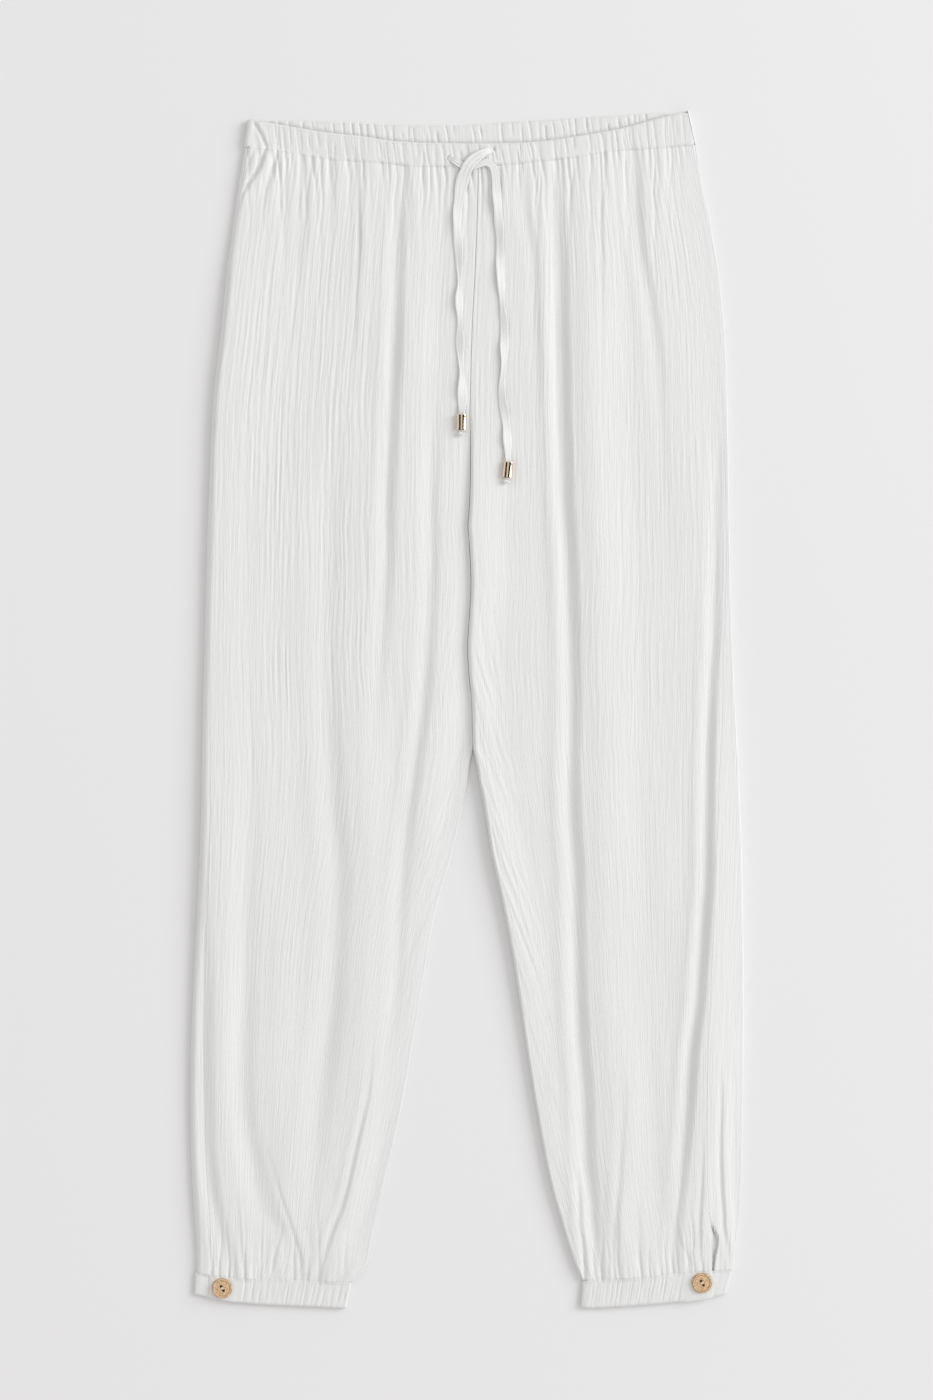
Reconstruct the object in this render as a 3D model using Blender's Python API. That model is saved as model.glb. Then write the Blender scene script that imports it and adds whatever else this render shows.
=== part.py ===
import math

import bmesh
import bpy

for item in list(bpy.data.objects):
    bpy.data.objects.remove(item, do_unlink=True)

# Every length below is in millimetres; MM turns it into metres when a mesh is made
MM = 0.001

# Walls and clearances
CLOTH = 1.5
GAP = 0.3
BACK_TOP = CLOTH
EDGE_HEIGHT = 5.6
ROLL = 4.0
LEG_FLOOR = 3.6
WAIST_LIFT = 1.1
POCKET_LIFT = 1.4
GATHER_LIFT = 0.6

# Where the rows of the leg panels lie, from the waist seam down to the cuff seam
TOP_ROW = 472.0
LOW_ROW = -478.0
LEG_ROWS = [TOP_ROW, 461, 448, 432, 412, 385, 354, 322, 290, 258, 224, 188, 150, 112, 74, 36, 0,
            -28, -46, -62, -88, -120, -156, -192, -228, -264, -300, -334, -366, -394, -416, -432,
            -443, -453, -463, LOW_ROW]

# Where the flat part of a back panel has its columns, as shares of the leg's width
BACK_COLUMNS = [0.16, 0.32, 0.48, 0.64, 0.82, 1.0]

# Outline of the left leg: y, outer edge x, width of the back panel's wrap, centre seam or inner edge x
LEFT_LEG = [
    (472, -186.8, 3.0, 9.2),
    (437, -192.4, 3.0, 8.8),
    (407, -196.5, 3.0, 8.1),
    (369, -201.7, 3.0, 6.7),
    (319, -206.6, 3.0, 4.2),
    (260, -213.3, 3.0, 2.5),
    (201, -216.1, 3.0, 0.8),
    (126, -218.8, 4.0, 0.4),
    (50, -220.7, 5.5, 0.2),
    (-9, -222.2, 7.0, 1.4),
    (-46, -222.7, 8.0, 2.3),
    (-76, -223.2, 8.5, -2.8),
    (-118, -224.4, 9.0, -12.8),
    (-160, -226.4, 9.5, -24.0),
    (-202, -228.5, 10.0, -32.7),
    (-244, -230.5, 11.0, -39.2),
    (-286, -232.0, 12.0, -46.6),
    (-328, -232.6, 13.0, -54.0),
    (-370, -231.9, 13.0, -63.0),
    (-403, -230.4, 13.0, -71.0),
    (-429, -228.8, 13.0, -77.0),
    (-450, -227.4, 12.5, -81.4),
    (-464, -226.9, 12.0, -84.5),
    (-478, -226.9, 12.0, -95.0),
]

# Outline of the right leg, same columns
RIGHT_LEG = [
    (472, 191.9, 3.0, 9.5),
    (437, 197.9, 3.0, 9.1),
    (407, 204.5, 3.0, 8.4),
    (369, 211.0, 3.0, 7.0),
    (319, 215.9, 3.0, 4.5),
    (260, 218.6, 3.0, 2.8),
    (201, 219.6, 3.0, 1.1),
    (126, 220.9, 3.2, 0.7),
    (50, 223.0, 7.5, 0.5),
    (-9, 226.1, 12.0, 1.7),
    (-46, 228.1, 16.0, 3.8),
    (-76, 229.3, 18.5, 11.5),
    (-118, 230.9, 21.5, 19.8),
    (-160, 231.8, 24.0, 29.5),
    (-202, 232.3, 26.5, 37.6),
    (-244, 232.5, 28.5, 44.2),
    (-286, 232.6, 30.5, 50.4),
    (-328, 232.0, 30.5, 57.0),
    (-370, 231.0, 29.5, 64.5),
    (-403, 229.7, 27.5, 71.7),
    (-429, 228.3, 25.5, 79.2),
    (-450, 226.4, 21.0, 85.6),
    (-464, 224.7, 17.0, 90.4),
    (-478, 223.4, 15.5, 96.5),
]

# Folds of the left front, one table a fold: y, crest x, rise above the panel
LEFT_FOLDS = [
    [(472, -181, 1.0), (400, -191, 0.6), (319, -196, 0.3), (92, -207, 0.3), (-34, -209, 0.5), (-160, -213, 1.2),
     (-328, -212, 1.8), (-395, -209, 2.0), (-429, -203, 1.8), (-478, -197, 1.2)],
    [(472, -131, 1.5), (386, -140, 1.5), (319, -153, 0.8), (235, -165, 0.8), (151, -176, 2.0), (-118, -176, 2.0),
     (-244, -182, 2.2), (-328, -181, 2.4), (-374, -172, 2.2), (-416, -163, 1.8), (-478, -146, 1.0)],
    [(472, -89, 1.6), (344, -90, 1.4), (260, -98, 1.0), (193, -108, 2.4), (8, -107, 3.0), (-76, -105, 3.2),
     (-143, -102, 3.2), (-210, -106, 3.2), (-319, -117, 2.6), (-370, -123, 2.0), (-420, -129, 1.4),
     (-478, -130, 0.8)],
    [(472, -53, 3.0), (344, -55, 3.2), (235, -61, 3.0), (143, -64, 2.8), (8, -70, 1.6), (-76, -75, 0.6),
     (-244, -80, 0.6), (-319, -82, 1.6), (-361, -89, 2.0), (-403, -98, 2.0), (-478, -116, 0.8)],
]

# Folds of the right front
RIGHT_FOLDS = [
    [(472, 52, 1.6), (416, 51, 1.6), (378, 56, 1.4), (319, 59, 1.2), (235, 60, 0.6), (126, 58, 0.4), (-76, 56, 0.5),
     (-160, 61, 0.6), (-244, 68, 0.8), (-328, 75, 1.0), (-395, 83, 1.2), (-478, 106, 0.8)],
    [(472, 81, 3.2), (344, 83, 3.6), (260, 84, 3.6), (126, 87, 3.4), (25, 90, 3.2), (-76, 91, 3.2), (-160, 95, 3.0),
     (-244, 97, 2.8), (-311, 101, 2.6), (-378, 105, 2.4), (-420, 110, 2.0), (-478, 118, 1.0)],
    [(472, 144, 2.4), (416, 146, 2.6), (378, 151, 2.4), (311, 163, 1.4), (235, 165, 0.6), (126, 164, 0.3),
     (-118, 152, 0.3), (-244, 145, 0.4), (-328, 134, 1.0), (-395, 127, 1.4), (-478, 131, 0.8)],
    [(472, 181, 0.3), (428, 187, 0.3), (361, 199, 0.3), (277, 207, 0.4), (218, 209, 0.8), (176, 210, 1.4),
     (126, 210, 2.0), (75, 210, 2.8), (36, 209, 3.4), (-32, 206, 3.8), (-160, 204, 3.8), (-235, 200, 3.8),
     (-294, 194, 3.6), (-353, 189, 3.4), (-395, 185, 3.2), (-437, 181, 2.6), (-478, 182, 1.2)],
]

# Roll along the centre seam and the inseam: y, rise on the left panel, rise on the right panel
INNER_ROLL = [
    (472, 0.2, 0.4),
    (300, 0.2, 0.8),
    (245, 0.2, 1.4),
    (195, 0.3, 2.8),
    (100, 0.4, 3.4),
    (-46, 0.9, 3.2),
    (-110, 1.6, 2.2),
    (-300, 1.6, 1.8),
    (-478, 1.2, 1.2),
]
ROLL_CREST = 6.5
ROLL_MID = 2.4
INNER_EDGE_TOP = 3.5

# Ankle vent in each side seam: y, opening of the left one, opening of the right one
VENT = [
    (-420, 0.0, 0.0),
    (-432, 0.3, 0.4),
    (-443, 0.8, 2.6),
    (-453, 1.0, 3.6),
    (-463, 0.6, 1.6),
    (-478, 0.0, 0.0),
]

# Waistband, left to right: x, y
BACK_BAND_TOP = [(-184, 494.5), (-178, 495.4), (-140, 494.7), (-119, 494.6), (-56, 491.7), (-6, 491.2),
                 (11, 492.1), (69, 495.9), (114, 498.5), (145, 500.5), (186, 502.5)]
BACK_BAND_SEAM = [(-188, 472.3), (-140, 473.6), (-56, 471.5), (3, 471.1), (69, 475.7), (145, 479.5), (193, 474.0)]
FRONT_BAND_TOP = [(-182, 493.4), (-172, 492.9), (-165, 492.1), (-119, 484.5), (-89, 481.2), (-60, 477.0),
                  (-14, 475.3), (40, 475.6), (69, 477.8), (99, 482.4), (129, 487.9), (159, 495.9), (180, 500.7)]
FRONT_BAND_SEAM = [(-188, 472.3), (-157, 468.6), (-134, 464.4), (-112, 461.4), (-74, 458.5), (-37, 455.4),
                   (32, 456.8), (54, 459.3), (84, 462.2), (107, 466.0), (129, 468.9), (166, 471.3), (193, 474.0)]
BAND_LEFT_SEAM = -187.4
BAND_LEFT_TOP = -184.2
BAND_RIGHT_SEAM = 192.2
BAND_RIGHT_TOP = 186.0
BAND_WALL = 2.4
BAND_WAVE = 0.8
BAND_HEIGHT = 6.3
BAND_GATHERS = 58
BAND_LEAN = 2.4
FRONT_BAND_FLOOR = 3.5

# Shares of a band's or cuff's height with the strength of its gathers there
BAND_ROWS = [(0.0, 0.6), (0.5, 1.0), (1.0, 0.6)]

# Pocket bags
POCKET_DEPTH = 122.0
POCKET_INSET = 9.0
POCKET_TOP = 458.0
POCKET_LOW = 240.0
POCKET_WALL = 1.2
POCKET_RAMP = 16.0

# Cuffs, left to right: x, y
LEFT_CUFF_SEAM = [(-229, -471.6), (-197, -476.4), (-159, -477.3), (-124, -479.0), (-95, -479.8)]
LEFT_CUFF_HEM = [(-230, -490.2), (-218, -492.4), (-200, -495.8), (-182, -498.3), (-153, -500.0), (-129, -501.0),
                 (-100, -502.4)]
RIGHT_CUFF_SEAM = [(95, -478.4), (150, -475.6), (179, -472.2), (224, -469.4)]
RIGHT_CUFF_HEM = [(94, -500.6), (101, -502.2), (150, -499.4), (199, -494.3), (220, -489.8)]
LEFT_CUFF_ENDS = {"seam": (-228.2, -96.5), "hem": (-229.2, -101.6)}
RIGHT_CUFF_ENDS = {"seam": (223.2, 97.2), "hem": (217.6, 95.2)}
CUFF_GATHERS = 18
CUFF_WAVE = 0.8
CUFF_BACK = 2.2
CUFF_FRONT_FLOOR = 2.5
CUFF_FRONT_TOP = 4.7
TAB_END = 12.6
TAB_FLAT = 34.0
TAB_RAMP = 44.0
UNDERLAP_END = 31.0
UNDERLAP_TOP = 4.0
TAB_FLOOR = 4.3
TAB_TOP = 5.8

# Buttons: centre x, centre y
BUTTON_CENTRES = {"left": (-205.1, -484.9), "right": (197.1, -480.4)}
BUTTON_RADIUS = 8.4
BUTTON_THICK = 2.4
BUTTON_HOLE = 0.95
BUTTON_HOLE_SPREAD = 1.9
BUTTON_SIDES = 28

# Drawstring: a flat tape in two free strands that cross below the eyelets, x, y, share of full width
TAPE_WIDTH = 7.4
TAPE_THICK = 1.2
TAPE_LIFT = 0.55
LEFT_STRAND = [(22.0, 470.0, 0.6), (15.0, 467.2, 0.8), (8.2, 463.0, 1.0), (2.4, 457.6, 1.1), (-1.6, 450.0, 1.2),
               (-4.4, 441.0, 1.2), (-6.4, 430.0, 1.1), (-8.0, 417.0, 1.0), (-8.2, 404.0, 0.9), (-7.4, 390.0, 1.0),
               (-6.6, 375.0, 0.9), (-6.2, 360.2, 0.6), (-6.6, 346.0, 0.9), (-6.0, 325.0, 0.75), (-5.9, 306.4, 1.0),
               (-4.8, 284.6, 0.6), (-4.0, 270.0, 1.0), (-3.9, 258.0, 0.9), (-4.3, 250.0, 0.7), (-4.5, 245.4, 0.62)]
RIGHT_STRAND = [(-15.5, 463.1, 0.6), (-9.4, 459.4, 0.7), (-3.2, 456.2, 0.8), (4.0, 455.4, 0.9), (10.5, 457.6, 0.9),
                (17.0, 458.6, 0.9), (21.8, 454.5, 0.9), (23.9, 445.0, 0.9), (25.0, 433.0, 1.0), (26.1, 418.0, 1.0),
                (27.2, 403.0, 1.0), (27.7, 387.0, 0.9), (27.9, 371.0, 1.0), (28.6, 354.0, 0.8), (29.6, 338.0, 1.0),
                (31.1, 322.0, 0.9), (31.4, 304.0, 1.0), (29.9, 284.0, 0.6), (29.2, 270.0, 0.9), (29.8, 259.0, 1.0),
                (31.5, 249.0, 1.0), (33.2, 237.0, 1.0), (33.9, 225.0, 0.9), (34.4, 214.5, 0.7), (34.8, 205.6, 0.62)]
CROSSING_RISE = 2.0
CROSSING_POINTS = 6.0

# Metal tips: top end x, y and low end x, y, then the knot below
TIP_ENDS = {"left": ((-4.5, 247.4), (-4.6, 234.6)), "right": ((34.8, 207.6), (33.6, 194.6))}
KNOT_CENTRES = {"left": (-4.6, 231.4), "right": (33.3, 191.4)}
TIP_RADIUS = 4.3
TIP_FLATNESS = 0.6  # the tube is pressed to an oval
TIP_BORE = 3.3
TIP_DEPTH = 5.0
TIP_SIDES = 20
KNOT_RADIUS = 2.9


def smooth(value):
    clamped = min(1.0, max(0.0, value))
    return clamped * clamped * (3.0 - 2.0 * clamped)


def along(rows, at, column=1):
    # Smooth curve through one column of a table, read at a position of its first column
    points = sorted(rows)
    if at <= points[0][0]:
        return float(points[0][column])
    if at >= points[-1][0]:
        return float(points[-1][column])
    right = 1
    while points[right][0] < at:
        right += 1
    left = right - 1
    before = max(0, left - 1)
    after = min(len(points) - 1, right + 1)
    span = points[right][0] - points[left][0]
    share = (at - points[left][0]) / span
    slope_left = (points[right][column] - points[before][column]) / (points[right][0] - points[before][0])
    slope_right = (points[after][column] - points[left][column]) / (points[after][0] - points[left][0])
    square = share * share
    cube = square * share
    return ((2 * cube - 3 * square + 1) * points[left][column]
            + (cube - 2 * square + share) * span * slope_left
            + (3 * square - 2 * cube) * points[right][column]
            + (cube - square) * span * slope_right)


def straight(points, at):
    # Straight pieces between the points of one section
    if at <= points[0][0]:
        return points[0][1]
    for (x0, z0), (x1, z1) in zip(points, points[1:]):
        if at <= x1:
            return z0 + (z1 - z0) * (at - x0) / max(x1 - x0, 1e-6)
    return points[-1][1]


def material(name, colour, roughness, metallic=0.0):
    made = bpy.data.materials.new(name)
    made.use_nodes = True
    shader = made.node_tree.nodes["Principled BSDF"]
    shader.inputs["Base Color"].default_value = (*colour, 1.0)
    shader.inputs["Roughness"].default_value = roughness
    shader.inputs["Metallic"].default_value = metallic
    return made


def mesh_object(name, points, faces, surface):
    mesh = bpy.data.meshes.new(name)
    mesh.from_pydata([(x * MM, y * MM, z * MM) for x, y, z in points], [], faces)
    work = bmesh.new()
    work.from_mesh(mesh)
    bmesh.ops.recalc_face_normals(work, faces=work.faces)
    work.to_mesh(mesh)
    work.free()
    made = bpy.data.objects.new(name, mesh)
    bpy.context.scene.collection.objects.link(made)
    made.data.materials.append(surface)
    return made


def shell(name, outside, inside, surface):
    # Closed piece of cloth from rows of outside points and the matching rows of inside points
    rows = len(outside)
    columns = len(outside[0])
    points = [point for row in outside for point in row]
    shift = len(points)
    points += [point for row in inside for point in row]
    faces = []
    for row in range(rows - 1):
        for column in range(columns - 1):
            corner = row * columns + column
            quad = (corner, corner + 1, corner + columns + 1, corner + columns)
            faces.append(quad)
            faces.append(tuple(index + shift for index in reversed(quad)))
    for row in (0, rows - 1):
        for column in range(columns - 1):
            corner = row * columns + column
            faces.append((corner, corner + 1, corner + 1 + shift, corner + shift))
    for column in (0, columns - 1):
        for row in range(rows - 1):
            corner = row * columns + column
            faces.append((corner, corner + columns, corner + columns + shift, corner + shift))
    return mesh_object(name, points, faces, surface)


def leg_sizes(side, y):
    table = LEFT_LEG if side == "left" else RIGHT_LEG
    inward = 1.0 if side == "left" else -1.0
    outer = along(table, y, 1)
    wrap = along(table, y, 2)
    inner = along(table, y, 3)
    if side == "right":
        inner = max(inner, along(LEFT_LEG, y, 3) + GAP)
    vent = along(VENT, y, 1 if side == "left" else 2)
    return outer, wrap, inner, inward, max(0.0, vent)


def pocket_lift(side, x, y):
    outer, wrap, inner, inward, vent = leg_sizes(side, y)
    distance = (x - outer) * inward
    across = smooth((POCKET_DEPTH + 2 * POCKET_RAMP - distance) / POCKET_RAMP)
    down = smooth((y - (POCKET_LOW - 2 * POCKET_RAMP)) / POCKET_RAMP)
    return POCKET_LIFT * across * down


def leg_base(side, x, y):
    return LEG_FLOOR + max(WAIST_LIFT * smooth((y - 395.0) / 50.0), pocket_lift(side, x, y))


def front_section(side, y):
    # Top surface of a front panel across the leg at one height, left to right
    outer, wrap, inner, inward, vent = leg_sizes(side, y)
    seam = outer + inward * (wrap + GAP + 0.5 * vent)
    folds = LEFT_FOLDS if side == "left" else RIGHT_FOLDS
    inner_rise = along(INNER_ROLL, y, 1 if side == "left" else 2)
    crests = [(along(fold, y, 1), along(fold, y, 2)) for fold in folds]
    seam_rise = EDGE_HEIGHT - leg_base(side, seam, y)
    roll = (inner - inward * ROLL_CREST, inner_rise)
    if side == "left":
        crests = [(seam, seam_rise)] + crests + [roll]
    else:
        crests = [roll] + crests + [(seam, seam_rise)]
    section = []
    for (x0, rise0), (x1, rise1) in zip(crests, crests[1:]):
        span = x1 - x0
        shoulder = x0 + 0.34 * span
        trough = x1 - min(10.0, 0.3 * span)
        flank = x1 - min(4.0, 0.12 * span)
        section.append((x0, leg_base(side, x0, y) + rise0))
        section.append((shoulder, leg_base(side, shoulder, y) + 0.55 * rise0))
        section.append((trough, leg_base(side, trough, y)))
        section.append((flank, leg_base(side, flank, y) + 0.5 * rise1))
    section.append((crests[-1][0], leg_base(side, crests[-1][0], y) + crests[-1][1]))
    middle = inner - inward * ROLL_MID
    edge = [(middle, leg_base(side, middle, y) + 0.7 * inner_rise),
            (inner, INNER_EDGE_TOP + WAIST_LIFT * smooth((y - 395.0) / 50.0))]
    if side == "left":
        return section + edge
    return edge[::-1] + section


def row_height(x, y, top_line, low_line):
    # Bends the first rows to the waist seam and the last rows to the cuff seam
    lifted = y + (along(top_line, x) - GAP - TOP_ROW) * smooth((y - 375.0) / (TOP_ROW - 375.0))
    return lifted + (along(low_line, x) + GAP - LOW_ROW) * smooth((-400.0 - y) / (-400.0 - LOW_ROW))


def front_leg(side, surface):
    low_line = LEFT_CUFF_SEAM if side == "left" else RIGHT_CUFF_SEAM
    outside = []
    inside = []
    for y in LEG_ROWS:
        waist = smooth((y - 425.0) / 40.0)
        ankle = smooth((-440.0 - y) / 30.0)
        top_row = []
        low_row = []
        for number, (x, z) in enumerate(front_section(side, y)):
            lift = GATHER_LIFT * max(waist, ankle) * (1 if number % 2 else -0.6)
            height = max(z + lift, BACK_TOP + GAP + CLOTH)
            level = row_height(x, y, FRONT_BAND_SEAM, low_line)
            top_row.append((x, level, height))
            low_row.append((x, level, max(height - CLOTH, BACK_TOP + GAP)))
        outside.append(top_row)
        inside.append(low_row)
    return shell("front_" + side + "_leg", outside, inside, surface)


def back_leg(side, surface):
    low_line = LEFT_CUFF_SEAM if side == "left" else RIGHT_CUFF_SEAM
    outside = []
    inside = []
    for y in LEG_ROWS:
        outer, wrap, inner, inward, vent = leg_sizes(side, y)
        end = wrap - 0.5 * vent
        roll = min(ROLL, 0.75 * end)
        outer_points = [(end, EDGE_HEIGHT), (0.5 * (end + roll), EDGE_HEIGHT), (roll, EDGE_HEIGHT - 0.1),
                        (0.28 * roll, EDGE_HEIGHT - 0.9), (0.0, 0.5 * EDGE_HEIGHT), (0.28 * roll, 0.8),
                        (roll, 0.0)]
        wall = min(CLOTH, 0.5 * end)
        inner_points = [(end, EDGE_HEIGHT - CLOTH), (0.5 * (end + max(roll, wall)), EDGE_HEIGHT - CLOTH),
                        (max(roll, wall + 0.5), EDGE_HEIGHT - CLOTH - 0.1),
                        (wall + 0.2, EDGE_HEIGHT - CLOTH - 0.5), (wall, 0.5 * EDGE_HEIGHT),
                        (wall + 0.2, CLOTH + 0.4), (max(roll, wall + 0.5), CLOTH)]
        for share in BACK_COLUMNS:
            outer_points.append((share * abs(inner - outer), 0.0))
            inner_points.append((share * abs(inner - outer), CLOTH))
        outside.append([(outer + inward * s, row_height(outer + inward * s, y, BACK_BAND_SEAM, low_line), z)
                        for s, z in outer_points])
        inside.append([(outer + inward * s, row_height(outer + inward * s, y, BACK_BAND_SEAM, low_line), z)
                       for s, z in inner_points])
    return shell("back_" + side + "_leg", outside, inside, surface)


def pocket(side, surface):
    floor = BACK_TOP + GAP
    outside = []
    inside = []
    rows = 9
    for row in range(rows):
        share = row / (rows - 1)
        y = POCKET_TOP + (POCKET_LOW - POCKET_TOP) * share
        outer, wrap, inner, inward, vent = leg_sizes(side, y)
        near = POCKET_INSET + 6.0 * smooth((share - 0.75) / 0.25)
        far = POCKET_DEPTH - 52.0 * smooth((share - 0.7) / 0.3) - 10.0 * smooth((0.3 - share) / 0.3)
        ends = [outer + inward * near, outer + inward * far]
        outside.append([(x, y, floor + POCKET_WALL) for x in ends])
        inside.append([(x, y, floor) for x in ends])
    return shell("pocket_" + side, outside, inside, surface)


def gather_stations(count, finish=(0.0, 0.3, 0.72)):
    # Shares along a gathered edge with a level of 0 in each pinch and 1 on each puff
    stations = []
    for number in range(count):
        shift = 0.2 * math.sin(2.1 * number + 0.6)
        stretch = 0.2 * math.sin(2.1 * (number + 1) + 0.6)
        for order, share in enumerate(finish):
            position = number + share + shift * (1 - share) + stretch * share
            level = 0.0 if order == 0 else 1.0 - 0.25 * math.sin(1.7 * number + order)
            stations.append((position / count, level))
    return stations


def band_back(surface):
    gathers = gather_stations(BAND_GATHERS, (0.0, 0.5))
    outside = []
    inside = []
    for share, strength in BAND_ROWS:
        left = BAND_LEFT_SEAM + (BAND_LEFT_TOP - BAND_LEFT_SEAM) * share
        right = BAND_RIGHT_SEAM + (BAND_RIGHT_TOP - BAND_RIGHT_SEAM) * share
        outer_row = []
        inner_row = []

        def add(x, outer_z, inner_x, inner_z):
            seam_y = along(BACK_BAND_SEAM, x)
            y = seam_y + (along(BACK_BAND_TOP, x) - seam_y) * share
            outer_row.append((x, y, outer_z))
            inner_row.append((inner_x, y, inner_z))

        curl = [(ROLL, BAND_HEIGHT, ROLL, BAND_HEIGHT - BAND_WALL),
                (1.1, BAND_HEIGHT - 0.9, BAND_WALL + 0.5, BAND_HEIGHT - BAND_WALL - 0.2),
                (0.0, 0.5 * BAND_HEIGHT, BAND_WALL, 0.5 * BAND_HEIGHT),
                (1.1, 0.8, BAND_WALL + 0.5, BAND_WALL + 0.2),
                (ROLL, 0.0, ROLL, BAND_WALL)]
        for s, outer_z, inner_s, inner_z in curl:
            add(left + s, outer_z, left + inner_s, inner_z)
        first = left + ROLL + 1.5
        last = right - ROLL - 1.5
        for position, level in gathers:
            lean = BAND_LEAN * (0.5 - share) * smooth(position / 0.03) * smooth((1.0 - position) / 0.03)
            x = first + (last - first) * position + lean
            add(x, 0.0, x, BAND_WALL + BAND_WAVE * level * strength)
        add(last, 0.0, last, BAND_WALL)
        for s, outer_z, inner_s, inner_z in reversed(curl):
            add(right - s, outer_z, right - inner_s, inner_z)
        outside.append(outer_row)
        inside.append(inner_row)
    return shell("waistband_back", outside, inside, surface)


def band_front(surface):
    gathers = gather_stations(BAND_GATHERS)
    outside = []
    inside = []
    for share, strength in BAND_ROWS:
        left = BAND_LEFT_SEAM + (BAND_LEFT_TOP - BAND_LEFT_SEAM) * share + ROLL + GAP
        right = BAND_RIGHT_SEAM + (BAND_RIGHT_TOP - BAND_RIGHT_SEAM) * share - ROLL - GAP
        stations = [(left, 0.5)]
        for position, level in gathers:
            lean = BAND_LEAN * (0.5 - share) * smooth(position / 0.03) * smooth((1.0 - position) / 0.03)
            stations.append((left + 1.5 + (right - left - 3.0) * position + lean, level))
        stations += [(right - 1.5, 0.5), (right, 0.5)]
        top_row = []
        low_row = []
        for x, level in stations:
            seam_y = along(FRONT_BAND_SEAM, x)
            y = seam_y + (along(FRONT_BAND_TOP, x) - seam_y) * share
            top_row.append((x, y, FRONT_BAND_FLOOR + BAND_WALL + BAND_WAVE * level * strength))
            low_row.append((x, y, FRONT_BAND_FLOOR))
        outside.append(top_row)
        inside.append(low_row)
    return shell("waistband_front", outside, inside, surface)


def cuff(side, surface):
    ends = LEFT_CUFF_ENDS if side == "left" else RIGHT_CUFF_ENDS
    seam_line = LEFT_CUFF_SEAM if side == "left" else RIGHT_CUFF_SEAM
    hem_line = LEFT_CUFF_HEM if side == "left" else RIGHT_CUFF_HEM
    outside = []
    inside = []
    for share, strength in BAND_ROWS:
        outer = ends["seam"][0] + (ends["hem"][0] - ends["seam"][0]) * share
        inner = ends["seam"][1] + (ends["hem"][1] - ends["seam"][1]) * share
        width = abs(inner - outer)
        inward = 1.0 if inner > outer else -1.0
        path = [(UNDERLAP_END, UNDERLAP_TOP, UNDERLAP_END, CUFF_FRONT_FLOOR),
                (ROLL, UNDERLAP_TOP, ROLL, CUFF_FRONT_FLOOR),
                (1.1, UNDERLAP_TOP - 0.7, 2.9, CUFF_FRONT_FLOOR - 0.05),
                (0.0, 0.5 * UNDERLAP_TOP, 2.4, 0.5 * (CUFF_BACK + CUFF_FRONT_FLOOR)),
                (1.1, 0.7, 2.9, CUFF_BACK + 0.05),
                (ROLL, 0.0, ROLL, CUFF_BACK)]
        for position, level in gather_stations(CUFF_GATHERS, (0.0, 0.5)):
            s = ROLL + 2.0 + (width - 2 * ROLL - 4.0) * position
            path.append((s, 0.0, s, CUFF_BACK - 0.4 * (1.0 - level) * strength))
        path += [(width - ROLL, 0.0, width - ROLL, CUFF_BACK),
                 (width - 1.1, 0.8, width - 2.9, CUFF_BACK + 0.05),
                 (width, 0.5 * CUFF_FRONT_TOP, width - 2.4, 0.5 * (CUFF_BACK + CUFF_FRONT_FLOOR)),
                 (width - 1.1, CUFF_FRONT_TOP - 0.8, width - 2.9, CUFF_FRONT_FLOOR - 0.05),
                 (width - ROLL, CUFF_FRONT_TOP, width - ROLL, CUFF_FRONT_FLOOR)]
        for position, level in gather_stations(CUFF_GATHERS):
            s = width - ROLL - 2.0 - (width - ROLL - 3.0 - TAB_RAMP) * position
            path.append((s, CUFF_FRONT_TOP + CUFF_WAVE * level * strength, s, CUFF_FRONT_FLOOR))
        path += [(TAB_RAMP, CUFF_FRONT_TOP + 0.2, TAB_RAMP, CUFF_FRONT_FLOOR),
                 (TAB_FLAT, TAB_TOP, TAB_FLAT, TAB_FLOOR),
                 (TAB_END, TAB_TOP, TAB_END, TAB_FLOOR)]
        outer_row = []
        inner_row = []
        for s, outer_z, inner_s, inner_z in path:
            x = outer + inward * s
            seam_y = along(seam_line, x)
            y = seam_y + (along(hem_line, x) - seam_y) * share
            outer_row.append((x, y, outer_z))
            inner_row.append((outer + inward * inner_s, y, inner_z))
        outside.append(outer_row)
        inside.append(inner_row)
    return shell("cuff_" + side, outside, inside, surface)


def turned(name, profile, sides, place, surface):
    # Solid turned about an axis: profile of (radius, height), place maps a local point to the garment
    points = []
    faces = []
    rings = []
    for radius, height in profile:
        if radius < 1e-6:
            rings.append([len(points)])
            points.append(place(0.0, 0.0, height))
            continue
        ring = []
        for side in range(sides):
            angle = 2.0 * math.pi * side / sides
            ring.append(len(points))
            points.append(place(radius * math.cos(angle), radius * math.sin(angle), height))
        rings.append(ring)
    for low, high in zip(rings, rings[1:]):
        for side in range(sides):
            after = (side + 1) % sides
            corners = [low[side % len(low)], low[after % len(low)], high[after % len(high)], high[side % len(high)]]
            kept = []
            for corner in corners:
                if corner not in kept:
                    kept.append(corner)
            faces.append(tuple(kept))
    return mesh_object(name, points, faces, surface)


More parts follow.
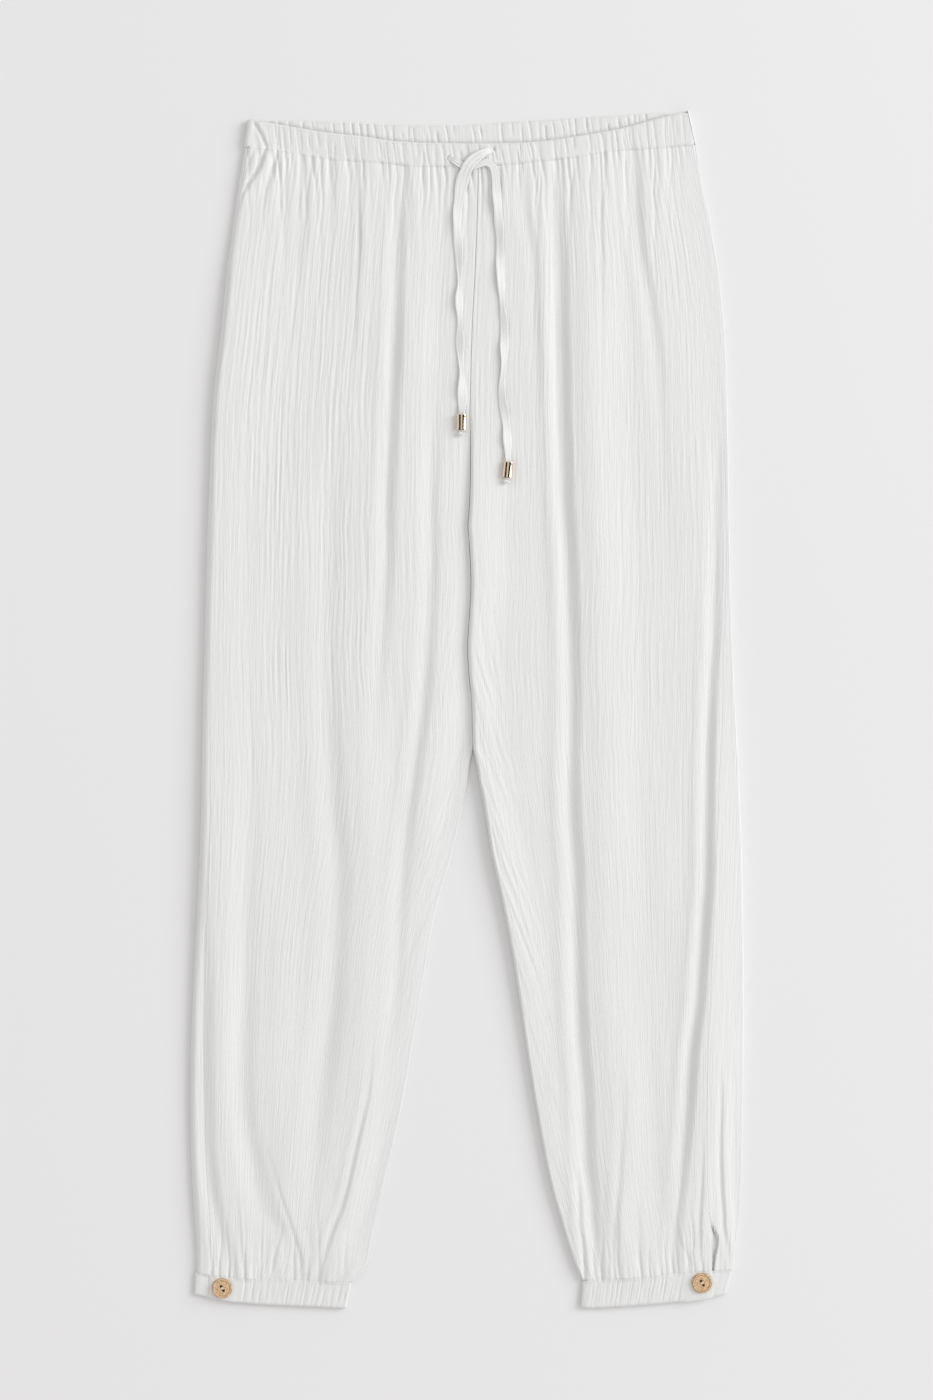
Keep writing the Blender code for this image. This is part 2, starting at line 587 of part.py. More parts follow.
def button(side, surface):
    centre_x, centre_y = BUTTON_CENTRES[side]
    base = TAB_TOP + GAP
    top = base + BUTTON_THICK

    def place(x, y, z):
        return (centre_x + x, centre_y + y, z)

    profile = [(0.0, base), (BUTTON_RADIUS - 1.6, base), (BUTTON_RADIUS - 0.3, base + 0.5),
               (BUTTON_RADIUS, base + 1.2), (BUTTON_RADIUS - 0.5, top - 0.25), (BUTTON_RADIUS - 1.3, top),
               (BUTTON_RADIUS - 2.4, top - 0.15), (BUTTON_RADIUS - 3.2, top - 0.5), (0.0, top - 0.5)]
    made = turned("button_" + side, profile, BUTTON_SIDES, place, surface)
    for sign in (-1, 1):
        hole_x = centre_x - sign * BUTTON_HOLE_SPREAD * math.cos(math.radians(45))
        hole_y = centre_y + sign * BUTTON_HOLE_SPREAD * math.sin(math.radians(45))

        def place_hole(x, y, z, at=(hole_x, hole_y)):
            return (at[0] + x, at[1] + y, z)

        tool = turned("hole_%s_%d" % (side, sign + 2), [(0.0, base - 1), (BUTTON_HOLE, base - 1),
                      (BUTTON_HOLE, top + 1), (0.0, top + 1)], 10, place_hole, surface)
        tool.hide_render = True
        tool.display_type = "WIRE"
        cut = made.modifiers.new("hole", "BOOLEAN")
        cut.operation = "DIFFERENCE"
        cut.solver = "EXACT"
        cut.object = tool
    return made


def ground(x, y):
    # Height of the cloth under a point of the tape
    if y > along(FRONT_BAND_SEAM, x) - 3.0:
        return FRONT_BAND_FLOOR + BAND_WALL + BAND_WAVE * 1.2
    side = "left" if x < along(LEFT_LEG, y, 3) else "right"
    lift = GATHER_LIFT * smooth((y - 425.0) / 40.0)
    return straight(front_section(side, y), x) + lift


def tape_height(x, y):
    highest = 0.0
    for step_x in (-3.6, -1.8, 0.0, 1.8, 3.6):
        for step_y in (-9.0, -4.5, 0.0, 4.5, 9.0):
            highest = max(highest, ground(x + step_x, y + step_y))
    return highest + TAPE_LIFT + 0.5 * TAPE_THICK


def tape(side, surface):
    strand = LEFT_STRAND if side == "left" else RIGHT_STRAND
    curve = bpy.data.curves.new("tie_" + side, "CURVE")
    curve.dimensions = "3D"
    curve.twist_mode = "Z_UP"
    curve.extrude = (0.5 * TAPE_WIDTH - 0.5 * TAPE_THICK) * MM
    curve.bevel_depth = 0.5 * TAPE_THICK * MM
    curve.bevel_resolution = 2
    curve.use_fill_caps = True
    spline = curve.splines.new("POLY")
    spline.points.add(len(strand) - 1)
    tip_height = tip_level(side)
    for number, (x, y, share) in enumerate(strand):
        z = tape_height(x, y)
        if side == "left":
            z += CROSSING_RISE * smooth((CROSSING_POINTS - number) / 2.0) * smooth((number + 1.6) / 1.6)
        rest = len(strand) - 1 - number
        if rest < 3:
            z = tip_height if rest < 2 else 0.5 * (tip_height + z)
        point = spline.points[number]
        point.co = (x * MM, y * MM, z * MM, 1.0)
        point.radius = share
        point.tilt = math.radians(90)
    made = bpy.data.objects.new("tie_" + side, curve)
    bpy.context.scene.collection.objects.link(made)
    curve.materials.append(surface)
    return made


def tip_level(side):
    (top_x, top_y), (low_x, low_y) = TIP_ENDS[side]
    highest = 0.0
    for step in range(9):
        share = step / 8
        x = top_x + (low_x - top_x) * share
        y = top_y + (low_y - top_y) * share - 6.0 * share
        highest = max(highest, ground(x, y), ground(x - 4.0, y), ground(x + 4.0, y))
    return highest + 2 * GAP + TIP_FLATNESS * TIP_RADIUS


def tip(side, surface):
    (top_x, top_y), (low_x, low_y) = TIP_ENDS[side]
    length = math.hypot(low_x - top_x, low_y - top_y)
    along_x = (low_x - top_x) / length
    along_y = (low_y - top_y) / length
    level = tip_level(side)

    def place(x, y, z):
        return (top_x + along_x * z - along_y * x, top_y + along_y * z + along_x * x, level + TIP_FLATNESS * y)

    profile = [(0.0, TIP_DEPTH), (TIP_BORE, TIP_DEPTH), (TIP_BORE, 0.25), (TIP_BORE + 0.35, 0.0),
               (TIP_RADIUS - 0.3, 0.0), (TIP_RADIUS, 0.4), (TIP_RADIUS - 0.25, 0.5 * length),
               (TIP_RADIUS, length - 0.4), (TIP_RADIUS - 0.3, length), (0.0, length)]
    return turned("tip_" + side, profile, TIP_SIDES, place, surface)


def knot(side, surface):
    centre_x, centre_y = KNOT_CENTRES[side]
    level = tip_level(side)

    def place(x, y, z):
        return (centre_x + x, centre_y + z, level + 0.85 * y)

    profile = [(KNOT_RADIUS * math.sin(math.pi * step / 8), -KNOT_RADIUS * math.cos(math.pi * step / 8))
               for step in range(9)]
    profile[0] = (0.0, -KNOT_RADIUS)
    profile[-1] = (0.0, KNOT_RADIUS)
    return turned("knot_" + side, profile, 12, place, surface)


cotton = (0.86, 0.855, 0.84)
for side in ("left", "right"):
    front_leg(side, material("gauze_front_" + side, cotton, 0.9))
    back_leg(side, material("gauze_back_" + side, cotton, 0.9))
    pocket(side, material("gauze_pocket_" + side, cotton, 0.9))
    cuff(side, material("gauze_cuff_" + side, cotton, 0.9))
    button(side, material("wood_button_" + side, (0.72, 0.5, 0.29), 0.45))
    tape(side, material("cotton_tape_" + side, cotton, 0.85))
    tip(side, material("brass_tip_" + side, (0.83, 0.6, 0.38), 0.22, 1.0))
    knot(side, material("cotton_knot_" + side, cotton, 0.85))
band_front(material("gauze_band_front", cotton, 0.9))
band_back(material("gauze_band_back", cotton, 0.9))
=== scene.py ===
import math

import bpy
import numpy as np
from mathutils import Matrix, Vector
from mathutils.bvhtree import BVHTree


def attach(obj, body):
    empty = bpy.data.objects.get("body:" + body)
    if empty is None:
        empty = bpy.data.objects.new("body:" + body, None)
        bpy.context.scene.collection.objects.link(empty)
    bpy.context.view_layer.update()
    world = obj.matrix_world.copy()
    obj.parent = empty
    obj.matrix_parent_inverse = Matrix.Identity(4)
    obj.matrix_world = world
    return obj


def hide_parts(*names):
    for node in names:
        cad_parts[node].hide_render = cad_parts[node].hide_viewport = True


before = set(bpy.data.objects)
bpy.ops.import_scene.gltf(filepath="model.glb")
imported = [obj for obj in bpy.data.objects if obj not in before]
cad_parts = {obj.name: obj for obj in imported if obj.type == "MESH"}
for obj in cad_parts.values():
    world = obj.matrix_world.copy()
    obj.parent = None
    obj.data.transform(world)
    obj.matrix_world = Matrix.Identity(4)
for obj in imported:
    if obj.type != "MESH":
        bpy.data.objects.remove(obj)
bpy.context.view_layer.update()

mm = 0.001  # every length below is in millimetres and becomes metres when a mesh is made
scene = bpy.context.scene
print("frame loaded")

# Short ways to add an object, to fill and wire the nodes of a tree, and to start a material


def addObject(name, data):
    made = bpy.data.objects.new(name, data)
    scene.collection.objects.link(made)
    return made


def treeTools(tree):
    # an input takes a value or another node's output; a kind without a prefix is a shader node
    def fill(node, inputs):
        for key, value in inputs.items():
            if isinstance(value, bpy.types.NodeSocket):
                tree.links.new(value, node.inputs[key])
            else:
                node.inputs[key].default_value = value

    def add(kind, output, inputs=None, **settings):
        node = tree.nodes.new(kind if "Node" in kind else "ShaderNode" + kind)
        for key, value in settings.items():
            setattr(node, key, value)
        fill(node, inputs or {})
        return node.outputs[output]

    return fill, add


def newMaterial(name):
    material = bpy.data.materials.new(name)
    material.use_nodes = True
    fill, add = treeTools(material.node_tree)

    def ramp(field, *stops):
        # colours at places from 0 to 1
        node = material.node_tree.nodes.new("ShaderNodeValToRGB")
        marks = node.color_ramp.elements
        for number, (place, colour) in enumerate(stops):
            mark = marks[number] if number < 2 else marks.new(place)
            mark.position = place
            mark.color = (*colour, 1.0)
        fill(node, {"Fac": field})
        return node.outputs["Color"]

    def finish(inputs):
        fill(material.node_tree.nodes["Principled BSDF"], inputs)
        return material

    return add, ramp, finish


# Camera straight above the cloth, with a long lens
photoView = {
    "lens": 100.0,
    "sensor": 36.0,
    "pictureHeight": 1176.0,  # what the picture covers on the surface, from top to bottom
    "aim": (-0.4, 8.2),
}


def makeCamera():
    camera = addObject("topCamera", bpy.data.cameras.new("topCamera"))
    camera.data.lens = photoView["lens"]
    camera.data.sensor_width = photoView["sensor"]
    camera.data.clip_end = 30.0
    distance = photoView["pictureHeight"] * photoView["lens"] / photoView["sensor"]
    camera.location = [value * mm for value in (*photoView["aim"], distance)]
    scene.camera = camera


makeCamera()

# One large soft light from the right and a little from the waist's side, a bright room and a pale table
studio = {
    "keyPlace": (6900.0, 2300.0, 4000.0),
    "keySize": 4600.0,
    "keyPower": 450.0,
    "keyColour": (0.97, 0.99, 1.0),
    "roomColour": (1.0, 0.992, 0.975),
    "roomStrength": 0.742,
    "tableColour": (0.80, 0.79, 0.798),
    "tableSize": 9000.0,
    # dark card on each side, which only the metal tips mirror: its lowest and highest angle in degrees
    "cards": {"left": (46.0, 78.0), "right": (49.0, 79.0)},
    "cardDistance": 1500.0,
}


def makePlate(name, corners, material):
    mesh = bpy.data.meshes.new(name)
    mesh.from_pydata(corners, [], [(0, 1, 2, 3)])
    mesh.materials.append(material)
    return addObject(name, mesh)


def makeLight():
    lamp = bpy.data.lights.new("keyLight", "AREA")
    lamp.shape = "SQUARE"
    lamp.size = studio["keySize"] * mm
    lamp.energy = studio["keyPower"]
    lamp.color = studio["keyColour"]
    key = addObject("keyLight", lamp)
    key.location = [value * mm for value in studio["keyPlace"]]
    key.rotation_euler = Vector(key.location).to_track_quat("Z", "Y").to_euler()
    scene.world = bpy.data.worlds.new("room")
    scene.world.use_nodes = True
    room = scene.world.node_tree.nodes["Background"].inputs
    room["Color"].default_value = (*studio["roomColour"], 1.0)
    room["Strength"].default_value = studio["roomStrength"]
    scene.view_settings.view_transform = "Standard"


def makeTable():
    half, pale = 0.5 * studio["tableSize"] * mm, studio["tableColour"]
    add, ramp, finish = newMaterial("palePaint")
    cloud = add("TexNoise", "Fac", {"Vector": add("TexCoord", "Object"), "Scale": 1.6})
    paint = finish({"Roughness": 0.85,
                    "Base Color": ramp(cloud, (0.0, [value * 0.985 for value in pale]), (1.0, pale))})
    corners = [(-half, -half, 0), (half, -half, 0), (half, half, 0), (-half, half, 0)]
    table = makePlate("table", corners, paint)


def makeCard(side):
    far, turn = studio["cardDistance"] * mm, (-1.0 if side == "left" else 1.0)
    low, high = (math.radians(angle) for angle in studio["cards"][side])
    corners = []
    for angle, end in ((low, -1.0), (low, 1.0), (high, 1.0), (high, -1.0)):
        corners.append((turn * far * math.cos(angle), end * far, far * math.sin(angle)))
    finish = newMaterial("darkCard")[2]
    paint = finish({"Base Color": (0.02, 0.015, 0.012, 1.0), "Roughness": 1.0})
    card = makePlate("card_" + side, corners, paint)
    card.visible_camera = card.visible_diffuse = card.visible_shadow = card.visible_transmission = False


makeLight()
makeTable()
for side in ("left", "right"):
    makeCard(side)
print("camera, light and table made")


# Drawstring: a flat tape in two free strands that cross in half a knot between the eyelets.
# Each place is x, y and the share of the full width that the tape has there
drawstring = {
    "width": 7.4,
    "thick": 1.0,
    "lift": 0.25,
    "eyelets": [(-15.5, 463.1), (22.6, 470.4)],
    "left": [(22.0, 470.0, 0.5), (15.0, 467.2, 0.85), (8.2, 463.0, 1.1), (2.4, 457.6, 1.3),
             (-1.6, 450.0, 1.4), (-4.4, 441.0, 1.35), (-6.4, 430.0, 1.2), (-8.0, 417.0, 1.0),
             (-8.2, 404.0, 0.9), (-7.4, 390.0, 1.0), (-6.6, 375.0, 0.9), (-6.2, 360.2, 0.45),
             (-6.6, 346.0, 0.9), (-6.0, 325.0, 0.62), (-5.9, 306.4, 1.0), (-4.8, 284.6, 0.45),
             (-4.0, 270.0, 1.05), (-3.9, 258.0, 1.0), (-4.3, 250.0, 0.72), (-4.5, 245.4, 0.66)],
    "right": [(-15.5, 463.1, 0.45), (-9.4, 459.4, 0.65), (-3.2, 456.2, 0.75), (4.0, 455.4, 0.8),
              (10.5, 457.6, 0.8), (17.0, 458.6, 0.75), (21.8, 454.5, 0.8), (23.9, 445.0, 0.9),
              (25.0, 433.0, 1.0), (26.1, 418.0, 1.0), (27.2, 403.0, 1.0), (27.7, 387.0, 0.9),
              (27.9, 371.0, 1.0), (28.6, 354.0, 0.75), (29.6, 338.0, 0.6), (31.1, 322.0, 0.9),
              (31.4, 304.0, 0.95), (29.9, 284.0, 0.45), (29.2, 270.0, 0.8), (29.8, 259.0, 0.95),
              (31.5, 249.0, 1.0), (33.2, 237.0, 0.9), (33.9, 225.0, 0.95), (34.4, 214.5, 0.75),
              (34.8, 205.6, 0.66)],
    "tilt": 0.3,  # how far the tape leans between two pinches, in radians
    "crossing": 2.0,  # how much higher the strand on top lies where they cross
    "bend": 0.9,  # how much higher the other one lies where it turns down after the crossing
    "dip": 1.8,  # how deep each one sinks into its eyelet
    "crease": {"left": (16.0, 0.45), "right": (8.0, 0.45)},  # lengthwise crease near the knot: place, depth
    "tips": {"left": ((-4.5, 247.4), (-4.6, 234.6)), "right": ((34.8, 207.6), (33.6, 194.6))},
    "knots": {"left": (-4.6, 231.4), "right": (33.3, 191.4)},
    "tipRadius": 4.3,
    "tipBore": 3.3,
    "tipFlatness": 0.6,
    "knotRadius": 2.6,
}

# Tools that several pieces share


def ease(value):
    clamped = np.clip(value, 0.0, 1.0)
    return clamped * clamped * (3.0 - 2.0 * clamped)


def bell(distance, width):
    return np.exp(-(distance / width) ** 2)


def readTable(rows, at, column=1):
    # smooth curve through one column of a table, read at positions of its first column
    table = np.array(sorted(rows), float)
    places, values = table[:, 0], table[:, column]
    slopes = np.empty(len(places))
    slopes[1:-1] = (values[2:] - values[:-2]) / (places[2:] - places[:-2])
    slopes[0] = (values[1] - values[0]) / (places[1] - places[0])
    slopes[-1] = (values[-1] - values[-2]) / (places[-1] - places[-2])
    at = np.clip(np.asarray(at, float), places[0], places[-1])
    right = np.clip(np.searchsorted(places, at), 1, len(places) - 1)
    left = right - 1
    span = places[right] - places[left]
    share = (at - places[left]) / span
    square, cube = share ** 2, share ** 3
    return ((2 * cube - 3 * square + 1) * values[left] + (cube - 2 * square + share) * span * slopes[left]
            + (3 * square - 2 * cube) * values[right] + (cube - square) * span * slopes[right])


lattices = {}


def rumple(u, v, cellU, cellV, seed):
    # smooth uneven field from -1 to 1, with hollows of about one cell
    if seed not in lattices:
        lattices[seed] = np.random.default_rng(seed).uniform(-1.0, 1.0, (1024, 256))
    lattice = lattices[seed]
    placeU = np.asarray(u, float) / cellU + 400.5
    placeV = np.asarray(v, float) / cellV + 100.5
    lowU, lowV = np.floor(placeU).astype(int), np.floor(placeV).astype(int)
    shareU, shareV = ease(placeU - lowU), ease(placeV - lowV)

    def corner(stepU, stepV):
        return lattice[(lowU + stepU) % 1024, (lowV + stepV) % 256]

    near = corner(0, 0) * (1 - shareU) + corner(1, 0) * shareU
    far = corner(0, 1) * (1 - shareU) + corner(1, 1) * shareU
    return near * (1 - shareV) + far * shareV


def makeMesh(name, points, faces, material, slot, node=None, grain=None, sharpAngle=55.0):
    if volumeSign(points, faces) < 0:
        faces = [face[::-1] for face in faces]
    mesh = bpy.data.meshes.new(name)
    mesh.from_pydata((np.asarray(points, float) * mm).tolist(), [], faces)
    if grain is not None:
        layer = mesh.uv_layers.new(name="grain")
        corners = np.empty(len(mesh.loops), np.int32)
        mesh.loops.foreach_get("vertex_index", corners)
        layer.data.foreach_set("uv", (np.asarray(grain, float) * mm)[corners].astype(np.float32).ravel())
    mesh.shade_smooth()
    mesh.set_sharp_from_angle(angle=math.radians(sharpAngle))
    mesh.materials.append(material)
    made = addObject(name, mesh)
    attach(made, "root")
    if node:
        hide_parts(node)
    return made


def volumeSign(points, faces):
    # positive where the faces of a closed form point outwards
    total = 0.0
    points = np.asarray(points, float)
    for size in (3, 4):
        group = np.array([face for face in faces if len(face) == size], int)
        for step in range(1, size - 1):
            if len(group):
                a, b, c = points[group[:, 0]], points[group[:, step]], points[group[:, step + 1]]
                total += np.einsum("ij,ij->", a, np.cross(b, c))
    return total


def ringOf(rows, columns, step):
    # indexes of the border of a grid, once round
    top = [(0, column) for column in range(0, columns - 1, step)]
    side = [(row, columns - 1) for row in range(0, rows - 1, step)]
    low = [(rows - 1, column) for column in range(columns - 1, 0, -step)]
    back = [(row, 0) for row in range(rows - 1, 0, -step)]
    return np.array(top + side + low + back)


def closedCloth(name, outside, inside, grain, slot, node, step=2):
    # wall of cloth between two grids of points: fine outside, coarser inside, and a rounded rim between them
    roundness = 0.1  # how far the rim stands out, as a part of the wall
    rows, columns = outside.shape[:2]
    ring = ringOf(rows, columns, 1)
    inward = np.clip(ring, 1, [rows - 2, columns - 2])
    border, lining = outside[ring[:, 0], ring[:, 1]], inside[ring[:, 0], ring[:, 1]]
    away = border - outside[inward[:, 0], inward[:, 1]]
    away = away / np.maximum(np.linalg.norm(away, axis=1, keepdims=True), 1e-6)
    thick = np.linalg.norm(border - lining, axis=1, keepdims=True)
    nose = 0.5 * (border + lining) + away * thick * roundness
    coarse, coarseGrain = inside[::step, ::step], grain[::step, ::step]
    rowsIn, columnsIn = coarse.shape[:2]
    points = np.vstack([outside.reshape(-1, 3), nose, coarse.reshape(-1, 3)])
    cloth = np.vstack([grain.reshape(-1, 2), grain[ring[:, 0], ring[:, 1]], coarseGrain.reshape(-1, 2)])
    startNose, startIn = rows * columns, rows * columns + len(ring)

    def quads(rowCount, columnCount, start, flipped):
        corner = (np.arange(rowCount - 1)[:, None] * columnCount + np.arange(columnCount - 1)).ravel() + start
        faces = np.stack([corner, corner + 1, corner + columnCount + 1, corner + columnCount], 1)
        return (faces[:, ::-1] if flipped else faces).tolist()

    faces = quads(rows, columns, 0, False) + quads(rowsIn, columnsIn, startIn, True)
    outer = (ring[:, 0] * columns + ring[:, 1]).tolist()
    ringIn = ringOf(rowsIn, columnsIn, 1)
    inner = (ringIn[:, 0] * columnsIn + ringIn[:, 1] + startIn).tolist()
    count = len(outer)
    for k in range(count):
        after = (k + 1) % count
        faces.append([outer[after], outer[k], startNose + k, startNose + after])
    for k in range(len(inner)):
        rim = [startNose + (k * step + number) % count for number in range(step + 1)]
        for number in range(step - 1):
            faces.append([rim[number + 1], rim[number], inner[k]])
        faces.append([rim[step], rim[step - 1], inner[k], inner[(k + 1) % len(inner)]])
    return makeMesh(name, points, faces, gauzeCloth, slot, node, cloth)


def sheetRow(x, y, z, xIn, yIn, zIn, grainU, grainV):
    # one row of a closed cloth: its points outside and inside, and its grain
    return np.stack([x, y, z], 1), np.stack([xIn, yIn, zIn], 1), np.stack([grainU, grainV + 0.0 * x], 1)


def sheetGrids(rows):
    return [np.array(grid) for grid in zip(*rows)]


# Crinkled gauze: what the weaver made, before any fold
gauze = {
    "longDepth": 0.17,
    "shortDepth": 0.13,
    "fineDepth": 0.07,
    "wall": 0.9,
    "colour": (0.788, 0.787, 0.781),
    "threadPitch": 0.55,
    # how strong the crinkles are: y, left leg, right leg
    "strength": [(472, 1.35, 0.8), (300, 1.3, 0.75), (100, 1.1, 0.55), (-100, 0.64, 0.45), (-300, 0.4, 0.42),
                 (-478, 0.55, 0.55)],
}


def crinkle(u, v, side):
    # long uneven wrinkles that run down the cloth, wander, fork and fade, with shorter ones between
    seed = 5 if side == "left" else 25
    across = u + 1.3 * rumple(u, v, 36, 110, seed) + 0.25 * rumple(u, v, 10, 40, seed + 1)

    def ripple(cell, length, number):
        # the difference of two neighbours leaves narrow lines only
        here, beside = rumple(across, v, cell, length, number), rumple(across + cell, v, cell, length, number)
        return 0.7 * (here - beside)

    broad, short = ripple(1.9, 84, seed + 2), ripple(1.7, 26, seed + 3)
    fine = rumple(across, v, 1.5, 8, seed + 5)
    patches = 0.85 + 0.5 * rumple(u, v, 24, 60, seed + 4)
    strength = patches * readTable(gauze["strength"], v, 1 if side == "left" else 2)
    if side == "left":
        strength = strength * (1.1 - 0.55 * ease((u - 110.0) / 60.0))
    return strength * (gauze["longDepth"] * broad + gauze["shortDepth"] * short + gauze["fineDepth"] * fine)


def clothMaterial(name, tint=1.0):
    # loose cotton weave with fine crinkles and slubs, on the piece's own grain map
    add, ramp, finish = newMaterial(name)
    grain = add("UVMap", "UV", uv_map="grain")

    def noise(across, along, detail, roughness=0.5):
        place = add("Mapping", "Vector", {"Vector": grain, "Scale": (across, along, 1.0)})
        return add("TexNoise", "Fac", {"Vector": place, "Scale": 1.0, "Detail": detail,
                                       "Roughness": roughness})

    def thread(turn):
        place = add("Mapping", "Vector", {"Vector": grain, "Rotation": (0.0, 0.0, turn)})
        scale = 0.314 / (gauze["threadPitch"] * mm)
        return add("TexWave", "Fac", {"Vector": place, "Scale": scale, "Distortion": 1.4, "Detail": 1.0,
                                      "Detail Scale": 0.6})

    slubs = noise(1000.0, 420.0, 2.0)
    weave = add("Math", "Value", {0: thread(0.0), 1: thread(math.pi / 2)}, operation="MAXIMUM")
    normal = {}
    for field, distance, strength in ((noise(700.0, 30.0, 3.0, 0.55), 0.00062, 0.8), (slubs, 0.0003, 0.5),
                                      (weave, 0.00012, 0.35)):
        bump = {"Height": field, "Distance": distance, "Strength": strength, **normal}
        normal = {"Normal": add("Bump", "Normal", bump)}
    blend = add("Mix", "Result", {"Factor": 0.5, "A": noise(22.0, 9.0, 3.0), "B": slubs})
    light = [value * tint for value in gauze["colour"]]
    dark = [value * 0.965 for value in light]
    tone = ramp(blend, (0.3, dark), (0.7, light))
    return finish({"Roughness": 0.92, "Specular IOR Level": 0.18, "Sheen Weight": 0.12,
                   "Sheen Roughness": 0.5, "Base Color": tone, **normal})


gauzeCloth = clothMaterial("crinkledGauze")

# Trouser legs. Outline rows: y, outer edge x, width that the back panel wraps to the front, inner edge x
legOutline = {
    "left": [
        (472, -186.8, 3.0, 9.2), (437, -192.4, 3.0, 8.8), (407, -196.5, 3.0, 8.1), (369, -201.7, 3.0, 6.7),
        (319, -206.6, 3.0, 4.2), (260, -213.3, 3.0, 2.5), (201, -216.1, 3.0, 0.8), (126, -218.8, 4.0, 0.4),
        (50, -220.7, 5.5, 0.2), (-9, -222.2, 7.0, 1.4), (-46, -222.7, 8.0, 2.3), (-76, -223.2, 8.5, -2.8),
        (-118, -224.4, 9.0, -12.8), (-160, -226.4, 9.5, -24.0), (-202, -228.5, 10.0, -32.7),
        (-244, -230.5, 11.0, -39.2), (-286, -232.0, 12.0, -46.6), (-328, -232.6, 13.0, -54.0),
        (-370, -231.9, 13.0, -63.0), (-403, -230.4, 13.0, -71.0), (-429, -228.8, 13.0, -77.0),
        (-450, -227.4, 12.5, -81.4), (-464, -226.9, 12.0, -84.5), (-478, -226.9, 12.0, -95.0)],
    "right": [
        (472, 191.9, 3.0, 9.5), (437, 197.9, 3.0, 9.1), (407, 204.5, 3.0, 8.4), (369, 211.0, 3.0, 7.0),
        (319, 215.9, 3.0, 4.5), (260, 218.6, 3.0, 2.8), (201, 219.6, 3.0, 1.1), (126, 220.9, 3.2, 0.7),
        (50, 223.0, 7.5, 0.5), (-9, 226.1, 12.0, 1.7), (-46, 228.1, 16.0, 3.8), (-76, 229.3, 18.5, 11.5),
        (-118, 230.9, 21.5, 19.8), (-160, 231.8, 24.0, 29.5), (-202, 232.3, 26.5, 37.6),
        (-244, 232.5, 28.5, 44.2), (-286, 232.6, 30.5, 50.4), (-328, 232.0, 30.5, 57.0),
        (-370, 231.0, 29.5, 64.5), (-403, 229.7, 27.5, 71.7), (-429, 228.3, 24.5, 79.2),
        (-437, 227.6, 22.0, 81.6), (-450, 226.4, 16.0, 85.6), (-464, 224.7, 16.4, 90.4),
        (-478, 223.4, 17.0, 96.5)],
}

# Ankle vent in each side seam: y, opening
ventOpening = {
    "left": [(-420, 0.0), (-432, 0.05), (-443, 0.12), (-453, 0.15), (-463, 0.1), (-478, 0.0)],
    "right": [(-420, 0.0), (-433, 0.1), (-442, 1.8), (-451, 4.4), (-459, 3.6), (-468, 2.0), (-478, 1.0)],
}

# Seam lines and edges of the waistband and cuffs: x, y
bandLines = {
    "backTop": [(-184, 494.5), (-178, 495.4), (-140, 494.7), (-119, 494.6), (-56, 491.7), (-6, 491.2),
                (11, 492.1), (69, 495.9), (114, 498.5), (145, 500.5), (186, 502.5)],
    "backSeam": [(-188, 472.3), (-140, 473.6), (-56, 471.5), (3, 471.1), (69, 475.7), (145, 479.5),
                 (193, 474.0)],
    "frontTop": [(-182, 493.4), (-172, 492.9), (-165, 492.1), (-119, 484.5), (-89, 481.2), (-60, 477.0),
                 (-14, 475.3), (40, 475.6), (69, 477.8), (99, 482.4), (129, 487.9), (159, 495.9),
                 (180, 500.7)],
    "frontSeam": [(-188, 472.3), (-157, 468.6), (-134, 464.4), (-112, 461.4), (-74, 458.5), (-37, 455.4),
                  (32, 456.8), (54, 459.3), (84, 462.2), (107, 466.0), (129, 468.9), (166, 471.3),
                  (193, 474.0)],
}
cuffLines = {
    "left": {"seam": [(-229, -471.6), (-197, -476.4), (-159, -477.3), (-124, -479.0), (-95, -479.8)],
             "hem": [(-230, -490.2), (-218, -492.4), (-200, -495.8), (-182, -498.3), (-153, -500.0),
                     (-129, -501.0), (-100, -502.4)],
             "seamEnds": (-228.2, -96.5), "hemEnds": (-229.2, -101.6)},
    "right": {"seam": [(95, -478.4), (150, -475.6), (179, -472.2), (224, -469.4)],
              "hem": [(94, -500.6), (101, -502.2), (150, -499.4), (199, -494.3), (220, -489.8)],
              "seamEnds": (223.2, 97.2), "hemEnds": (217.6, 95.2)},
}

